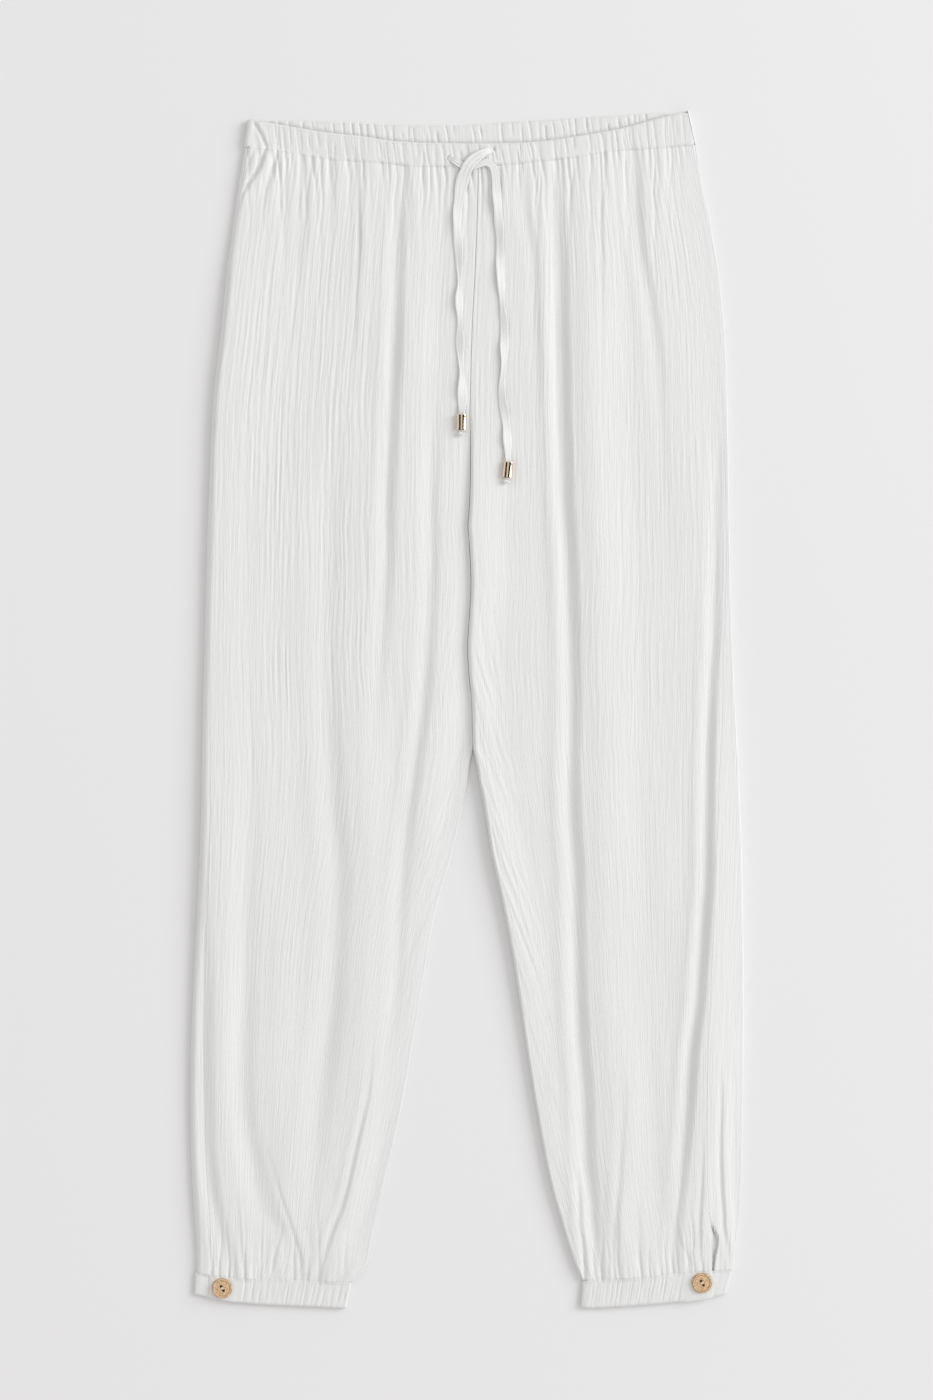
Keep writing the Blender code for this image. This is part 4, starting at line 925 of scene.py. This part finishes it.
def makeBackBand():
    angle, wall, lean = np.linspace(0.0, math.pi, 11), bandForm["wall"], gathers["waist"]["lean"]
    lines = gatherLines(54, -182.0, 184.0, 13, 0.35)
    curls = []
    for roll, high in zip(bandForm["roll"], bandForm["endHeight"]):
        curls.append((roll - roll * np.sin(angle), 0.5 * high * (1.0 + np.cos(angle)),
                      roll - (roll - wall) * np.sin(angle), 0.5 * high + (0.5 * high - wall) * np.cos(angle)))
    (leftS, leftZ, leftInS, leftInZ), (rightS, rightZ, rightInS, rightInZ) = curls

    def across(start, middle, end):
        return np.concatenate([start, middle, end[::-1]])

    made = []
    for share in np.linspace(0.0, 1.0, 17):
        left, right = bandEnds(share)
        flat = np.linspace(left + bandForm["roll"][0], right - bandForm["roll"][1], 480)[1:-1]
        x, xIn = across(left + leftS, flat, right - rightS), across(left + leftInS, flat, right - rightInS)
        z, zIn = across(leftZ, 0.0 * flat, rightZ), across(leftInZ, 0.0 * flat + wall, rightInZ)
        y = stripPlace(bandLines["backSeam"], bandLines["backTop"], x, share)[0]
        yIn = stripPlace(bandLines["backSeam"], bandLines["backTop"], xIn, share)[0]
        shares = np.full(len(x), share)
        puff = puffs(lines, xIn, shares, lean)
        for low, far in bandForm["smoothPatches"]:
            puff = puff + (0.9 - puff) * ease((xIn - low + 1.0) / 2.0) * ease((far + 1.0 - xIn) / 2.0)
        inner = zIn < wall + 0.01
        bare = ease((yIn - readTable(bandLines["frontTop"], xIn) - 0.5) / 2.5)  # beyond the front band
        tall = np.where(inner, -0.9 + (1.0 + 1.5 * bare) * bandForm["backPuff"] * puff, 0.0)
        zIn = np.where(inner, 1.2 + (zIn + tall - 1.2) * rimDrop(shares, 22.0, 1.8), zIn)
        crease = np.where(z > 3.0, puffs(lines, x, shares, lean) - 1.0, 0.0)
        z = np.maximum(z + crease * ease((z - 2.0) / 2.0), 0.0)
        made.append(sheetRow(x, y, z, xIn, yIn, zIn, np.linspace(0.0, 610.0, len(x)), y))
    return closedCloth("waistbandBack", *sheetGrids(made), "gauze_band_back", "waistband_back", step=1)


# Ankle cuffs: a gathered elastic strip whose plain tab laps over the wrapped end
cuffForm = {
    "rolls": {"left": (4.0, 1.5), "right": (1.5, 4.0)},  # how far the outer and the inner end curl
    "backTop": 2.2,
    "frontFloor": 2.5,
    "frontTop": 4.7,
    "tabEnd": 12.6,
    "tabEndTop": 5.05,
    "tabFlat": 34.0,
    "tabRamp": 44.0,
    "underlapEnd": 31.0,
    "underlapTop": 4.4,
    "tabFloor": 4.7,
    "tabTop": 5.7,
    "gathers": 19,
    "fineGathers": 24,
    "puff": 0.7,
    "lean": 0.7,
    "height": 22.0,  # from seam to hem
}


def spaced(step, *points):
    # even steps along a line of (s, outer z, inner z), given back as (s, outer z, inner s, inner z)
    made = [points[0]]
    for before, after in zip(points, points[1:]):
        count = max(1, round(abs(after[0] - before[0]) / step))
        for number in range(1, count + 1):
            made.append(tuple(a + (b - a) * number / count for a, b in zip(before, after)))
    return [(s, z, s, zIn) for s, z, zIn in made]


def curled(start, reach, high, up):
    # half a turn round an end of the strip
    return [(start + reach * math.sin(angle), 0.5 * high * (1.0 - up * math.cos(angle)),
             start + 0.45 * reach * math.sin(angle), 2.35 - 0.15 * up * math.cos(angle))
            for angle in np.linspace(0.0, math.pi, 11)[1:-1]]


def makeCuff(side):
    form, lines = cuffForm, cuffLines[side]
    (seamStart, seamEnd), (hemStart, hemEnd) = lines["seamEnds"], lines["hemEnds"]
    (first, last), width = form["rolls"][side], abs(seamEnd - seamStart)
    high, top, floor, tabFloor = (form[key] for key in ("underlapTop", "frontTop", "frontFloor", "tabFloor"))
    stations = spaced(1.2, (form["underlapEnd"], high, floor), (first, high, floor))
    stations += curled(first, -first, high, -1.0)
    stations += spaced(1.5, (first, 0.0, form["backTop"]), (width - last, 0.0, form["backTop"]))
    stations += curled(width - last, last, top, 1.0)
    startFront = len(stations)
    stations += spaced(0.7, (width - last, top, floor), (form["tabRamp"], top + 0.2, floor),
                       (form["tabFlat"], form["tabTop"], tabFloor),
                       (form["tabEnd"] + 4.5, form["tabTop"], tabFloor),
                       (form["tabEnd"], form["tabEndTop"], tabFloor - 0.25))
    if len(stations) % 2 == 0:
        before, after = stations[startFront - 1:startFront + 1]
        stations.insert(startFront, tuple(0.5 * (a + b) for a, b in zip(before, after)))
    s, z, sIn, zIn = (np.array(column) for column in zip(*stations))
    isFront = np.arange(len(s)) >= startFront
    ends = (form["tabRamp"] - 4.0, width - 1.0)
    creases = gatherLines(form["gathers"], *ends, 31 + len(side))
    creases += gatherLines(form["fineGathers"], *ends, 51 + len(side), finer=(0.45, 0.6))
    gathered = isFront * ease((s - form["tabFlat"] - 2.0) / 6.0)
    meets = np.maximum(isFront, s < form["tabEnd"]) * ease(z - 3.0)  # where the leg joins its upper edge
    made = []
    for share in np.linspace(0.0, 1.0, 17):
        start, end = seamStart + (hemStart - seamStart) * share, seamEnd + (hemEnd - seamEnd) * share
        x, xIn = start + (end - start) * s / width, start + (end - start) * sIn / width
        y = stripPlace(lines["seam"], lines["hem"], x, share)[0]
        yIn = stripPlace(lines["seam"], lines["hem"], xIn, share)[0]
        shares, away = np.full(len(s), share), share * form["height"]
        puff = puffs(creases, s, shares, form["lean"] * inwardOf(side))
        upper = z + gathered * (form["puff"] * (puff - 0.35) + 0.2 * bell(away - 1.3, 0.8))
        upper = upper + 0.12 * rumple(s, y, 5, 9, 77) * (z > 3.0)
        upper = upper + (seamHeight(side, x) - upper) * meets * bell(away, legForm["seamMeet"])
        rim = np.maximum(rimDrop(shares, form["height"], 1.6), (share < 0.5) * meets)
        middle = 0.5 * (z + zIn)
        outZ = np.where(z > 3.0, middle + (upper - middle) * (0.25 + 0.75 * rim), z)
        made.append(sheetRow(x, y, outZ, xIn, yIn, zIn, np.cumsum(np.full(len(s), 1.1)), y))
    return closedCloth("ankleCuff_" + side, *sheetGrids(made), "gauze_cuff_" + side, "cuff_" + side, step=1)


def makePocket(side):
    form, inward = pocketForm, inwardOf(side)
    share, across = np.meshgrid(np.linspace(0.0, 1.0, 41), np.linspace(0.0, 1.0, 31), indexing="ij")
    y = form["top"] + (form["low"] - form["top"]) * share
    near = form["inset"] + 6.0 * ease((share - 0.75) / 0.25)
    far = form["depth"] - 52.0 * ease((share - 0.7) / 0.3) - 10.0 * ease((0.3 - share) / 0.3)
    x = legLines(side, y)[0] + inward * (near + (far - near) * across)
    rough = 0.08 * rumple(x, y, 6, 40, 19)
    return closedCloth("pocketBag_" + side, np.stack([x, y, form["floor"] + form["wall"] + rough], 2),
                       np.stack([x, y, form["floor"] + 0.1 + 0.5 * rough], 2), np.stack([x, y], 2),
                       "gauze_pocket_" + side, "pocket_" + side)


pieces["bandFront"] = makeFrontBand()
pieces["bandBack"] = makeBackBand()
for side in ("left", "right"):
    pieces["cuff_" + side] = makeCuff(side)
    pieces["pocket_" + side] = makePocket(side)
print("waistband, cuffs and pockets made")


graph = bpy.context.evaluated_depsgraph_get()
trees = [BVHTree.FromObject(piece, graph) for name, piece in pieces.items() if not name.startswith("pocket")]


def topOf(x, y):
    # height of the cloth under a point of the photograph's plane
    highest = 0.0
    for tree in trees:
        hit = tree.ray_cast(Vector((x * mm, y * mm, 0.08)), Vector((0.0, 0.0, -1.0)))[0]
        if hit:
            highest = max(highest, hit.z / mm)
    return highest


def smoothPath(points, step):
    # the route's own points joined by one smooth line, read at even steps
    points = np.array(points, float)
    lengths = np.concatenate([[0.0], np.cumsum(np.hypot(*np.diff(points[:, :2], axis=0).T))])
    at = np.linspace(0.0, lengths[-1], int(lengths[-1] / step) + 1)
    return np.stack([readTable(list(zip(lengths, column)), at) for column in points.T], 1)


def tipLevel(side):
    (topX, topY), (lowX, lowY) = drawstring["tips"][side]
    highest = 0.0
    for share in np.linspace(0.0, 1.0, 9):
        x, y = topX + (lowX - topX) * share, topY + (lowY - topY) * share - 6.0 * share
        highest = max(highest, topOf(x, y), topOf(x - 3.5, y), topOf(x + 3.5, y))
    return highest + 0.2 + drawstring["tipFlatness"] * drawstring["tipRadius"]


cottonTape = clothMaterial("foldedTape", 1.02)


def tubeFaces(rings, sides, closed=False):
    # squares between the rings of a tube
    faces = []
    for row in range(rings if closed else rings - 1):
        low, high = row * sides, (row + 1) % rings * sides
        for column in range(sides):
            after = (column + 1) % sides
            faces.append([low + column, low + after, high + after, high + column])
    return faces


def makeTape(side):
    facts = drawstring
    stations = smoothPath(facts[side], 1.5)
    route, share = stations[:, :2], stations[:, 2]
    count = len(route)
    ahead = np.gradient(route, axis=0)
    ahead = ahead / np.linalg.norm(ahead, axis=1, keepdims=True)
    across = np.stack([ahead[:, 1], -ahead[:, 0]], 1)
    along = np.concatenate([[0.0], np.cumsum(np.hypot(*np.diff(route, axis=0).T))])
    half = 0.5 * facts["width"] * share * (1.0 + 0.05 * np.sin(along / 4.1 + len(side)))
    # a soft tape leans one way and then the other between the places where it is pinched
    angle = facts["tilt"] * np.sin(along / 11.0 + 0.4 * len(side)) * ease((along - 50.0) / 30.0)
    bulk = 1.0 + 1.3 * np.clip(0.85 - share, 0.0, 0.4)
    ground = np.array([max(topOf(x + a * d, y + b * d) for d in (-2.8, -1.4, 0.0, 1.4, 2.8))
                       for (x, y), (a, b) in zip(route, across)])
    ground = np.array([ground[max(0, k - 3):k + 4].max() for k in range(count)])
    ground = np.convolve(np.pad(ground, 3, mode="edge"), np.ones(7) / 7.0, mode="valid")
    z = ground + facts["lift"] + 0.5 * facts["thick"] * bulk + 0.6 * half * np.abs(np.sin(angle))
    if side == "left":
        z = z + facts["crossing"] * ease((44.0 - along) / 22.0) * ease(along / 12.0)
    else:
        z = z + facts["bend"] * ease((100.0 - along) / 50.0) * ease((along - 34.0) / 16.0)
    z = z + (tipLevel(side) - z) * ease((along - along[-1] + 13.0) / 9.0)
    z = z - facts["dip"] * ease((6.0 - along) / 6.0)
    creaseAt, depth = facts["crease"][side]
    crease = depth * bell(along - creaseAt, 15.0)
    cos, sin = np.cos(angle)[:, None], np.sin(angle)[:, None]
    flat, upright = np.hstack([across * cos, sin]), np.hstack([-across * sin, cos])
    thick = 0.5 * facts["thick"]
    section = [(place, thick * (0.78 + 0.3 * place ** 2) if abs(place) < 0.99 else 0.45 * thick)
               for place in np.linspace(-1.0, 1.0, 13)]
    section = section + [(place, -height) for place, height in section[::-1]]
    centre, rings = np.column_stack([route, z]), []
    for place, height in section:
        fold = crease * math.cos(2.5 * math.pi * place) * (1.0 - place ** 2)
        rings.append(centre + flat * (half * place)[:, None] + upright * (height * bulk + fold)[:, None])
    size = len(section)
    faces, base = tubeFaces(count, size), (count - 1) * size
    for k in range(size // 2 - 1):
        faces.append([k + 1, k, size - 1 - k, size - 2 - k])
        faces.append([base + k, base + k + 1, base + size - 2 - k, base + size - 1 - k])
    girth = np.concatenate([np.linspace(0, 6.2, size // 2), np.linspace(6.2, 0, size - size // 2)])
    grain = np.stack([np.tile(girth, count), np.repeat(along, size)], 1)
    made = makeMesh("tape_" + side, np.stack(rings, 1).reshape(-1, 3), faces, cottonTape,
                    "cotton_tape_" + side, "tie_" + side, grain)
    return made, centre


def turned(name, profile, sides, place, material, slot, node=None):
    # a profile of (radius, height) turned round its axis
    points, faces, rings = [], [], []
    for radius, height in profile:
        count = 1 if radius < 1e-6 else sides
        rings.append(list(range(len(points), len(points) + count)))
        for number in range(count):
            angle = 2.0 * math.pi * number / sides
            points.append(place(radius * math.cos(angle), radius * math.sin(angle), height))
    for low, high in zip(rings, rings[1:]):
        for number in range(sides):
            after = (number + 1) % sides
            corners = [low[number % len(low)], low[after % len(low)], high[after % len(high)],
                       high[number % len(high)]]
            faces.append(list(dict.fromkeys(corners)))
    return makeMesh(name, points, faces, material, slot, node, sharpAngle=40.0)


def sweep(line, radius, sides, aside, closed):
    # round cord along a line of points that lies across the direction aside
    if closed:
        ahead = np.roll(line, -1, axis=0) - np.roll(line, 1, axis=0)
    else:
        ahead = np.gradient(line, axis=0)
    ahead = ahead / np.linalg.norm(ahead, axis=1, keepdims=True)
    first = np.cross(ahead, aside)
    first = first / np.linalg.norm(first, axis=1, keepdims=True)
    second = np.cross(ahead, first)
    around = np.linspace(0.0, 2.0 * math.pi, sides, endpoint=False)[None, :, None]
    rings = line[:, None] + radius * (np.cos(around) * first[:, None] + np.sin(around) * second[:, None])
    points, faces = rings.reshape(-1, 3), tubeFaces(len(line), sides, closed)
    if not closed:
        points = np.vstack([points, line[0], line[-1]])
        base = (len(line) - 1) * sides
        for column in range(sides):
            after = (column + 1) % sides
            faces.append([after, column, len(points) - 2])
            faces.append([base + column, base + after, len(points) - 1])
    return points, faces


def brassMaterial():
    add, ramp, finish = newMaterial("roseBrass")
    place = add("TexCoord", "Object")
    brushed = add("Mapping", "Vector", {"Vector": place, "Scale": (2600.0, 160.0, 2600.0)})
    lines = add("TexNoise", "Fac", {"Vector": brushed, "Scale": 1.0, "Detail": 3.0})
    gloss = add("MapRange", "Result", {"Value": lines, "To Min": 0.08, "To Max": 0.16})
    tone = ramp(lines, (0.0, (0.84, 0.62, 0.43)), (1.0, (0.97, 0.84, 0.68)))
    return finish({"Metallic": 1.0, "Base Color": tone, "Roughness": gloss})


roseBrass = brassMaterial()


def makeTip(side):
    (topX, topY), (lowX, lowY) = drawstring["tips"][side]
    length = math.hypot(lowX - topX, lowY - topY)
    aheadX, aheadY = (lowX - topX) / length, (lowY - topY) / length
    level = tipLevel(side)
    radius, bore, flatness = drawstring["tipRadius"], drawstring["tipBore"], drawstring["tipFlatness"]

    def place(x, y, z):
        return (topX + aheadX * z - aheadY * x, topY + aheadY * z + aheadX * x, level + flatness * y)

    profile = [(0.0, 5.0), (bore, 5.0), (bore, 0.4), (bore + 0.2, 0.1), (bore + 0.45, 0.0),
               (radius - 0.25, 0.0), (radius - 0.06, 0.12), (radius, 0.4), (radius - 0.05, 1.1),
               (radius - 0.3, 1.5)]
    profile += [(radius - 0.34 + 0.06 * math.cos(2.0 * math.pi * share), 1.5 + (length - 3.0) * share)
                for share in (0.15, 0.3, 0.5, 0.7, 0.85)]
    profile += [(radius - 0.3, length - 1.5), (radius - 0.05, length - 1.1), (radius, length - 0.4),
                (radius - 0.1, length - 0.08), (radius - 0.4, length), (bore, length), (bore, length - 1.0),
                (0.0, length - 1.0)]
    return turned("tip_" + side + "_brass", profile, 48, place, roseBrass, "brass_tip_" + side, "tip_" + side)


def makeKnot(side):
    # small overhand knot: a cord of the tape's folded width along a three-lobed path
    radius, steps, sides = drawstring["knotRadius"], 96, 10
    turn = np.linspace(0.0, 2.0 * math.pi, steps, endpoint=False)
    size = 0.46 * radius
    line = np.stack([size * (np.sin(turn) + 2.0 * np.sin(2.0 * turn)) * 0.55, size * np.sin(3.0 * turn) * 0.6,
                     size * (np.cos(turn) - 2.0 * np.cos(2.0 * turn)) * 0.55], 1)
    points, faces = sweep(line, 0.34 * radius, sides, [0.0, 1.0, 0.0], True)
    points = points * [1.0, 1.0, 0.85] + np.array([*drawstring["knots"][side], tipLevel(side)])
    around, along = np.linspace(0, 4, sides), np.linspace(0, 30, steps)
    return makeMesh("knot_" + side + "_tape", points, faces, cottonTape, "cotton_knot_" + side,
                    "knot_" + side, np.stack([np.tile(around, steps), np.repeat(along, sides)], 1))


for side in ("left", "right"):
    pieces["tape_" + side], route = makeTape(side)
    pieces["tip_" + side] = makeTip(side)
    pieces["knot_" + side] = makeKnot(side)
    length = float(np.sum(np.linalg.norm(np.diff(route, axis=0), axis=1)))
    print("drawstring", side, "is", round(length, 1), "mm long")

# Wooden buttons: turned, with a raised lip round a shallow dish, two drilled holes and sewing thread
buttonForm = {
    "centres": {"left": (-205.1, -484.9), "right": (197.1, -480.4)},
    "radius": 8.4,
    "thick": 2.4,
    "base": 6.1,
    "lip": 2.1,  # width of the lip
    "hole": 1.25,
    "spread": 2.0,  # from the centre to each hole
    "turn": math.radians(-60.0),  # direction from one hole to the other
    "thread": 0.2,
}


def woodMaterial(side):
    # growth rings and pores, a little darker on the lip
    add, ramp, finish = newMaterial("turnedWood_" + side)
    centreX, centreY = buttonForm["centres"][side]
    place = add("TexCoord", "Object")
    centre = add("Mapping", "Vector", {"Vector": place, "Location": (-centreX * mm, -centreY * mm, 0.0),
                                       "Scale": (1.0, 1.0, 0.0)})
    rings = add("TexWave", "Fac", {"Vector": centre, "Scale": 150.0, "Distortion": 3.5, "Detail": 2.0,
                                   "Detail Scale": 1.0}, wave_type="RINGS", rings_direction="Z")
    pores = add("TexNoise", "Fac", {"Vector": place, "Scale": 780.0, "Detail": 3.0})
    pores = add("MapRange", "Result", {"Value": pores, "From Min": 0.34, "From Max": 0.66})
    blend = add("Mix", "Result", {"Factor": 0.62, "A": rings, "B": pores})
    away = add("VectorMath", "Value", {0: centre}, operation="LENGTH")
    rim = buttonForm["radius"] * mm
    lipStart = rim - (buttonForm["lip"] + 0.4) * mm
    lip = add("MapRange", "Result", {"Value": away, "From Min": lipStart, "From Max": rim, "To Max": 0.24})
    darker = add("Math", "Value", {0: blend, 1: lip}, operation="SUBTRACT")
    tone = ramp(darker, (0.0, (0.34, 0.20, 0.11)), (0.9, (0.80, 0.56, 0.34)), (0.42, (0.63, 0.42, 0.235)))
    normal = add("Bump", "Normal", {"Height": blend, "Distance": 0.00016, "Strength": 0.7})
    return finish({"Roughness": 0.38, "Coat Weight": 0.2, "Coat Roughness": 0.25, "Base Color": tone,
                   "Normal": normal})


def plainMaterial(name, dark, light, scale, roughness):
    # two close tones in small clouds
    add, ramp, finish = newMaterial(name)
    cloud = add("TexNoise", "Fac", {"Vector": add("TexCoord", "Object"), "Scale": scale})
    return finish({"Roughness": roughness, "Base Color": ramp(cloud, (0.0, dark), (1.0, light))})


# near-black colour for the walls of the drilled holes: painted shade in the holes, not the wood's own colour
paintedHoleShade = plainMaterial("paintedHoleShade", (0.035, 0.018, 0.01), (0.09, 0.048, 0.025), 900.0, 0.8)
sewingThread = plainMaterial("sewingThread", (0.77, 0.765, 0.75), (0.83, 0.825, 0.81), 2400.0, 0.7)


def bakeModifiers(made):
    # replaces a piece's mesh with what its modifiers give
    graph = bpy.context.evaluated_depsgraph_get()
    mesh = bpy.data.meshes.new_from_object(made.evaluated_get(graph))
    made.modifiers.clear()
    made.data = mesh


def makeButton(side):
    form, slot = buttonForm, "wood_button_" + side
    centreX, centreY = form["centres"][side]
    base, top, radius, lip = form["base"], form["base"] + form["thick"], form["radius"], form["lip"]
    profile = [(0.0, base), (radius - 1.9, base), (radius - 0.9, base + 0.15), (radius - 0.3, base + 0.55),
               (radius, base + 1.1), (radius - 0.05, base + 1.5), (radius - 0.35, top - 0.32),
               (radius - 0.75, top - 0.08), (radius - 1.1, top), (radius - 1.5, top - 0.06),
               (radius - 0.85 * lip, top - 0.3), (radius - lip, top - 0.66), (radius - 1.15 * lip, top - 0.7),
               (radius - 1.4 * lip, top - 0.5), (radius - 2.2 * lip, top - 0.48), (0.0, top - 0.6)]
    narrow, wide = 0.35 * form["hole"], form["hole"]
    drill = [(0.0, base - 1), (narrow, base - 1), (narrow, base + 0.4), (wide, base + 0.9), (wide, top + 1),
             (0.0, top + 1)]

    def placeAt(startX, startY):
        return lambda x, y, z: (startX + x, startY + y, z)

    place = placeAt(centreX, centreY)
    made = turned("button_" + side + "_wood", profile, 64, place, woodMaterial(side), slot)
    tools = []
    stepX, stepY = form["spread"] * math.cos(form["turn"]), form["spread"] * math.sin(form["turn"])
    for sign in (-1, 1):
        place = placeAt(centreX + sign * stepX, centreY + sign * stepY)
        # the drill carries the painted shade colour, and the cut passes it on to the walls of its hole
        tools.append(turned("drill", drill, 20, place, paintedHoleShade, slot))
        cut = made.modifiers.new("hole", "BOOLEAN")
        cut.operation = "DIFFERENCE"
        cut.solver = "EXACT"
        cut.material_mode = "TRANSFER"
        cut.object = tools[-1]
    bpy.context.view_layer.update()
    bakeModifiers(made)
    for tool in tools:
        bpy.data.objects.remove(tool)
    made.data.shade_smooth()
    made.data.set_sharp_from_angle(angle=math.radians(35.0))
    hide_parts("button_" + side)
    return made


def makeButtonThread(side):
    # two turns of thread from hole to hole, over the top of the button
    form, points, faces = buttonForm, [], []
    centre = np.array([*form["centres"][side], 0.0])
    along = np.array([math.cos(form["turn"]), math.sin(form["turn"]), 0.0])
    aside = np.array([-along[1], along[0], 0.0])
    top, far = form["base"] + form["thick"] - 0.55, form["spread"] - form["hole"] + form["thread"]
    half = [(far, form["base"] - 0.5), (far, top - 0.7), (far - 0.05, top - 0.1), (far - 0.3, top + 0.2),
            (0.4 * far, top + 0.34)]
    arch = [(-reach, high) for reach, high in half] + half[::-1]
    for shift in (-0.95, 0.95):
        line = np.array([centre + along * reach + aside * shift * form["thread"] + [0.0, 0.0, high]
                         for reach, high in arch])
        turnPoints, turnFaces = sweep(line, form["thread"], 10, aside, False)
        faces += [[corner + len(points) for corner in face] for face in turnFaces]
        points += turnPoints.tolist()
    return makeMesh("buttonThread_" + side, points, faces, sewingThread, "wood_button_" + side)


for side in ("left", "right"):
    pieces["button_" + side] = makeButton(side)
    pieces["thread_" + side] = makeButtonThread(side)
print("buttons made")

# Sewing: rows of single stitches that follow the cloth
sewing = {
    "pitch": 2.6,  # from stitch to stitch
    "barPitch": 0.8,
    "stitch": 1.7,
    "thread": 0.17,
    "seamAway": 1.6,  # from a seam or an edge to its row
    "lowest": 1.5,  # a row ends where the surface is lower than this, off the cloth
    "eyelet": 2.3,
    # bar tacks at the foot of the pocket opening and at the top of the ankle vent: y, length
    "bars": ((277.0, 5.0), (-422.0, 11.0)),
    "facing": [(189.6, -432.0), (190.0, -457.0), (197.4, -457.2)],  # L of stitches beside the right vent
}


def stitchTree():
    tree = bpy.data.node_groups.new("stitches", "GeometryNodeTree")
    sockets = (("Geometry", "Geometry"), ("Pitch", "Float"), ("Stitch Length", "Float"),
               ("Thread Radius", "Float"), ("Material", "Material"))
    for name, kind in sockets:
        tree.interface.new_socket(name, in_out="INPUT", socket_type="NodeSocket" + kind)
    tree.interface.new_socket("Geometry", in_out="OUTPUT", socket_type="NodeSocketGeometry")
    fill, add = treeTools(tree)
    given = tree.nodes.new("NodeGroupInput").outputs
    curve = add("GeometryNodeMeshToCurve", "Curve", {"Mesh": given["Geometry"]})
    even = add("GeometryNodeResampleCurve", "Curve", {"Curve": curve, "Length": given["Pitch"]},
               mode="LENGTH")
    ahead = add("GeometryNodeInputTangent", "Tangent")
    aim = add("FunctionNodeAlignRotationToVector", "Rotation", {"Vector": ahead}, axis="Z")
    half = add("Math", "Value", {0: given["Stitch Length"], 1: 0.5}, operation="MULTIPLY")
    radius = given["Thread Radius"]
    size = add("CombineXYZ", "Vector", {"X": radius, "Y": radius, "Z": half})
    ball = add("GeometryNodeMeshUVSphere", "Mesh", {"Segments": 8, "Rings": 5, "Radius": 1.0})
    placed = add("GeometryNodeInstanceOnPoints", "Instances",
                 {"Points": even, "Instance": ball, "Rotation": aim, "Scale": size})
    real = add("GeometryNodeRealizeInstances", "Geometry", {"Geometry": placed})
    smooth = add("GeometryNodeSetShadeSmooth", "Geometry", {"Geometry": real})
    painted = add("GeometryNodeSetMaterial", "Geometry", {"Geometry": smooth, "Material": given["Material"]})
    fill(tree.nodes.new("NodeGroupOutput"), {"Geometry": painted})
    return tree


stitches = stitchTree()


def addStitches(name, pitch, rows):
    # rows are lines of (x, y) in the plane of the photograph, laid on whatever cloth is under them
    points, edges = [], []
    for row in rows:
        row = np.array(row, float)
        lengths = np.concatenate([[0.0], np.cumsum(np.hypot(*np.diff(row, axis=0).T))])
        at = np.linspace(0.0, lengths[-1], max(3, int(lengths[-1] / 1.2)))
        onCloth = False
        for x, y in zip(np.interp(at, lengths, row[:, 0]), np.interp(at, lengths, row[:, 1])):
            high = topOf(x, y)
            if onCloth and high > sewing["lowest"]:
                edges.append((len(points) - 1, len(points)))
            onCloth = high > sewing["lowest"]
            if onCloth:
                points.append((x * mm, y * mm, (high + 0.6 * sewing["thread"]) * mm))
    mesh = bpy.data.meshes.new(name)
    mesh.from_pydata(points, edges, [])
    made = addObject(name, mesh)
    modifier = made.modifiers.new("stitches", "NODES")
    modifier.node_group = stitches
    values = {"Pitch": sewing[pitch] * mm, "Stitch Length": sewing["stitch"] * mm,
              "Thread Radius": sewing["thread"] * mm, "Material": sewingThread}
    for item in stitches.interface.items_tree:
        if item.in_out == "INPUT" and item.name in values:
            modifier[item.identifier] = values[item.name]
    bpy.context.view_layer.update()
    bakeModifiers(made)
    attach(made, "root")
    return made


def lineRow(line, low, high, away):
    # a row beside one of the lines of the waistband or a cuff
    return [(x, float(readTable(line, x)) + away) for x in np.arange(low, high, 1.5)]


def makeSewing():
    away = sewing["seamAway"]
    addStitches("stitches_bandFront", "pitch",
                [lineRow(bandLines["frontSeam"], -181.0, 188.0, away),
                 lineRow(bandLines["frontTop"], -176.0, 181.0, -away)])
    addStitches("stitches_bandBack", "pitch",
                [lineRow(bandLines["backTop"], -130.0, 150.0, -away)])
    angle = np.linspace(0.0, 2.0 * math.pi, 25)
    ringX, ringY = sewing["eyelet"] * np.cos(angle), sewing["eyelet"] * np.sin(angle)
    addStitches("stitches_eyelets", "barPitch",
                [list(zip(x + ringX, y + ringY)) for x, y in drawstring["eyelets"]])
    for side in ("left", "right"):
        inward, cuff = inwardOf(side), cuffLines[side]
        low, high = min(cuff["seamEnds"]) + 5.0, max(cuff["seamEnds"]) - 3.0
        edge = cuff["seamEnds"][0] + inward * (cuffForm["tabEnd"] + away)
        seam, hem = float(readTable(cuff["seam"], edge)), float(readTable(cuff["hem"], edge))
        addStitches("stitches_cuff_" + side, "pitch",
                    [lineRow(cuff["seam"], low, high, -away), lineRow(cuff["hem"], low, high, away),
                     [(edge, seam - away), (edge, hem + away)]])
        bars = []
        for y, reach in sewing["bars"]:
            outer, wrap = (float(value) for value in legLines(side, y)[:2])
            start = outer + inward * (wrap - 0.45 * reach)
            bars.append([(start, y), (start + inward * reach, y)])
        addStitches("stitches_bars_" + side, "barPitch", bars)
    addStitches("stitches_facing", "pitch", [sewing["facing"]])


makeSewing()
print("sewing made")
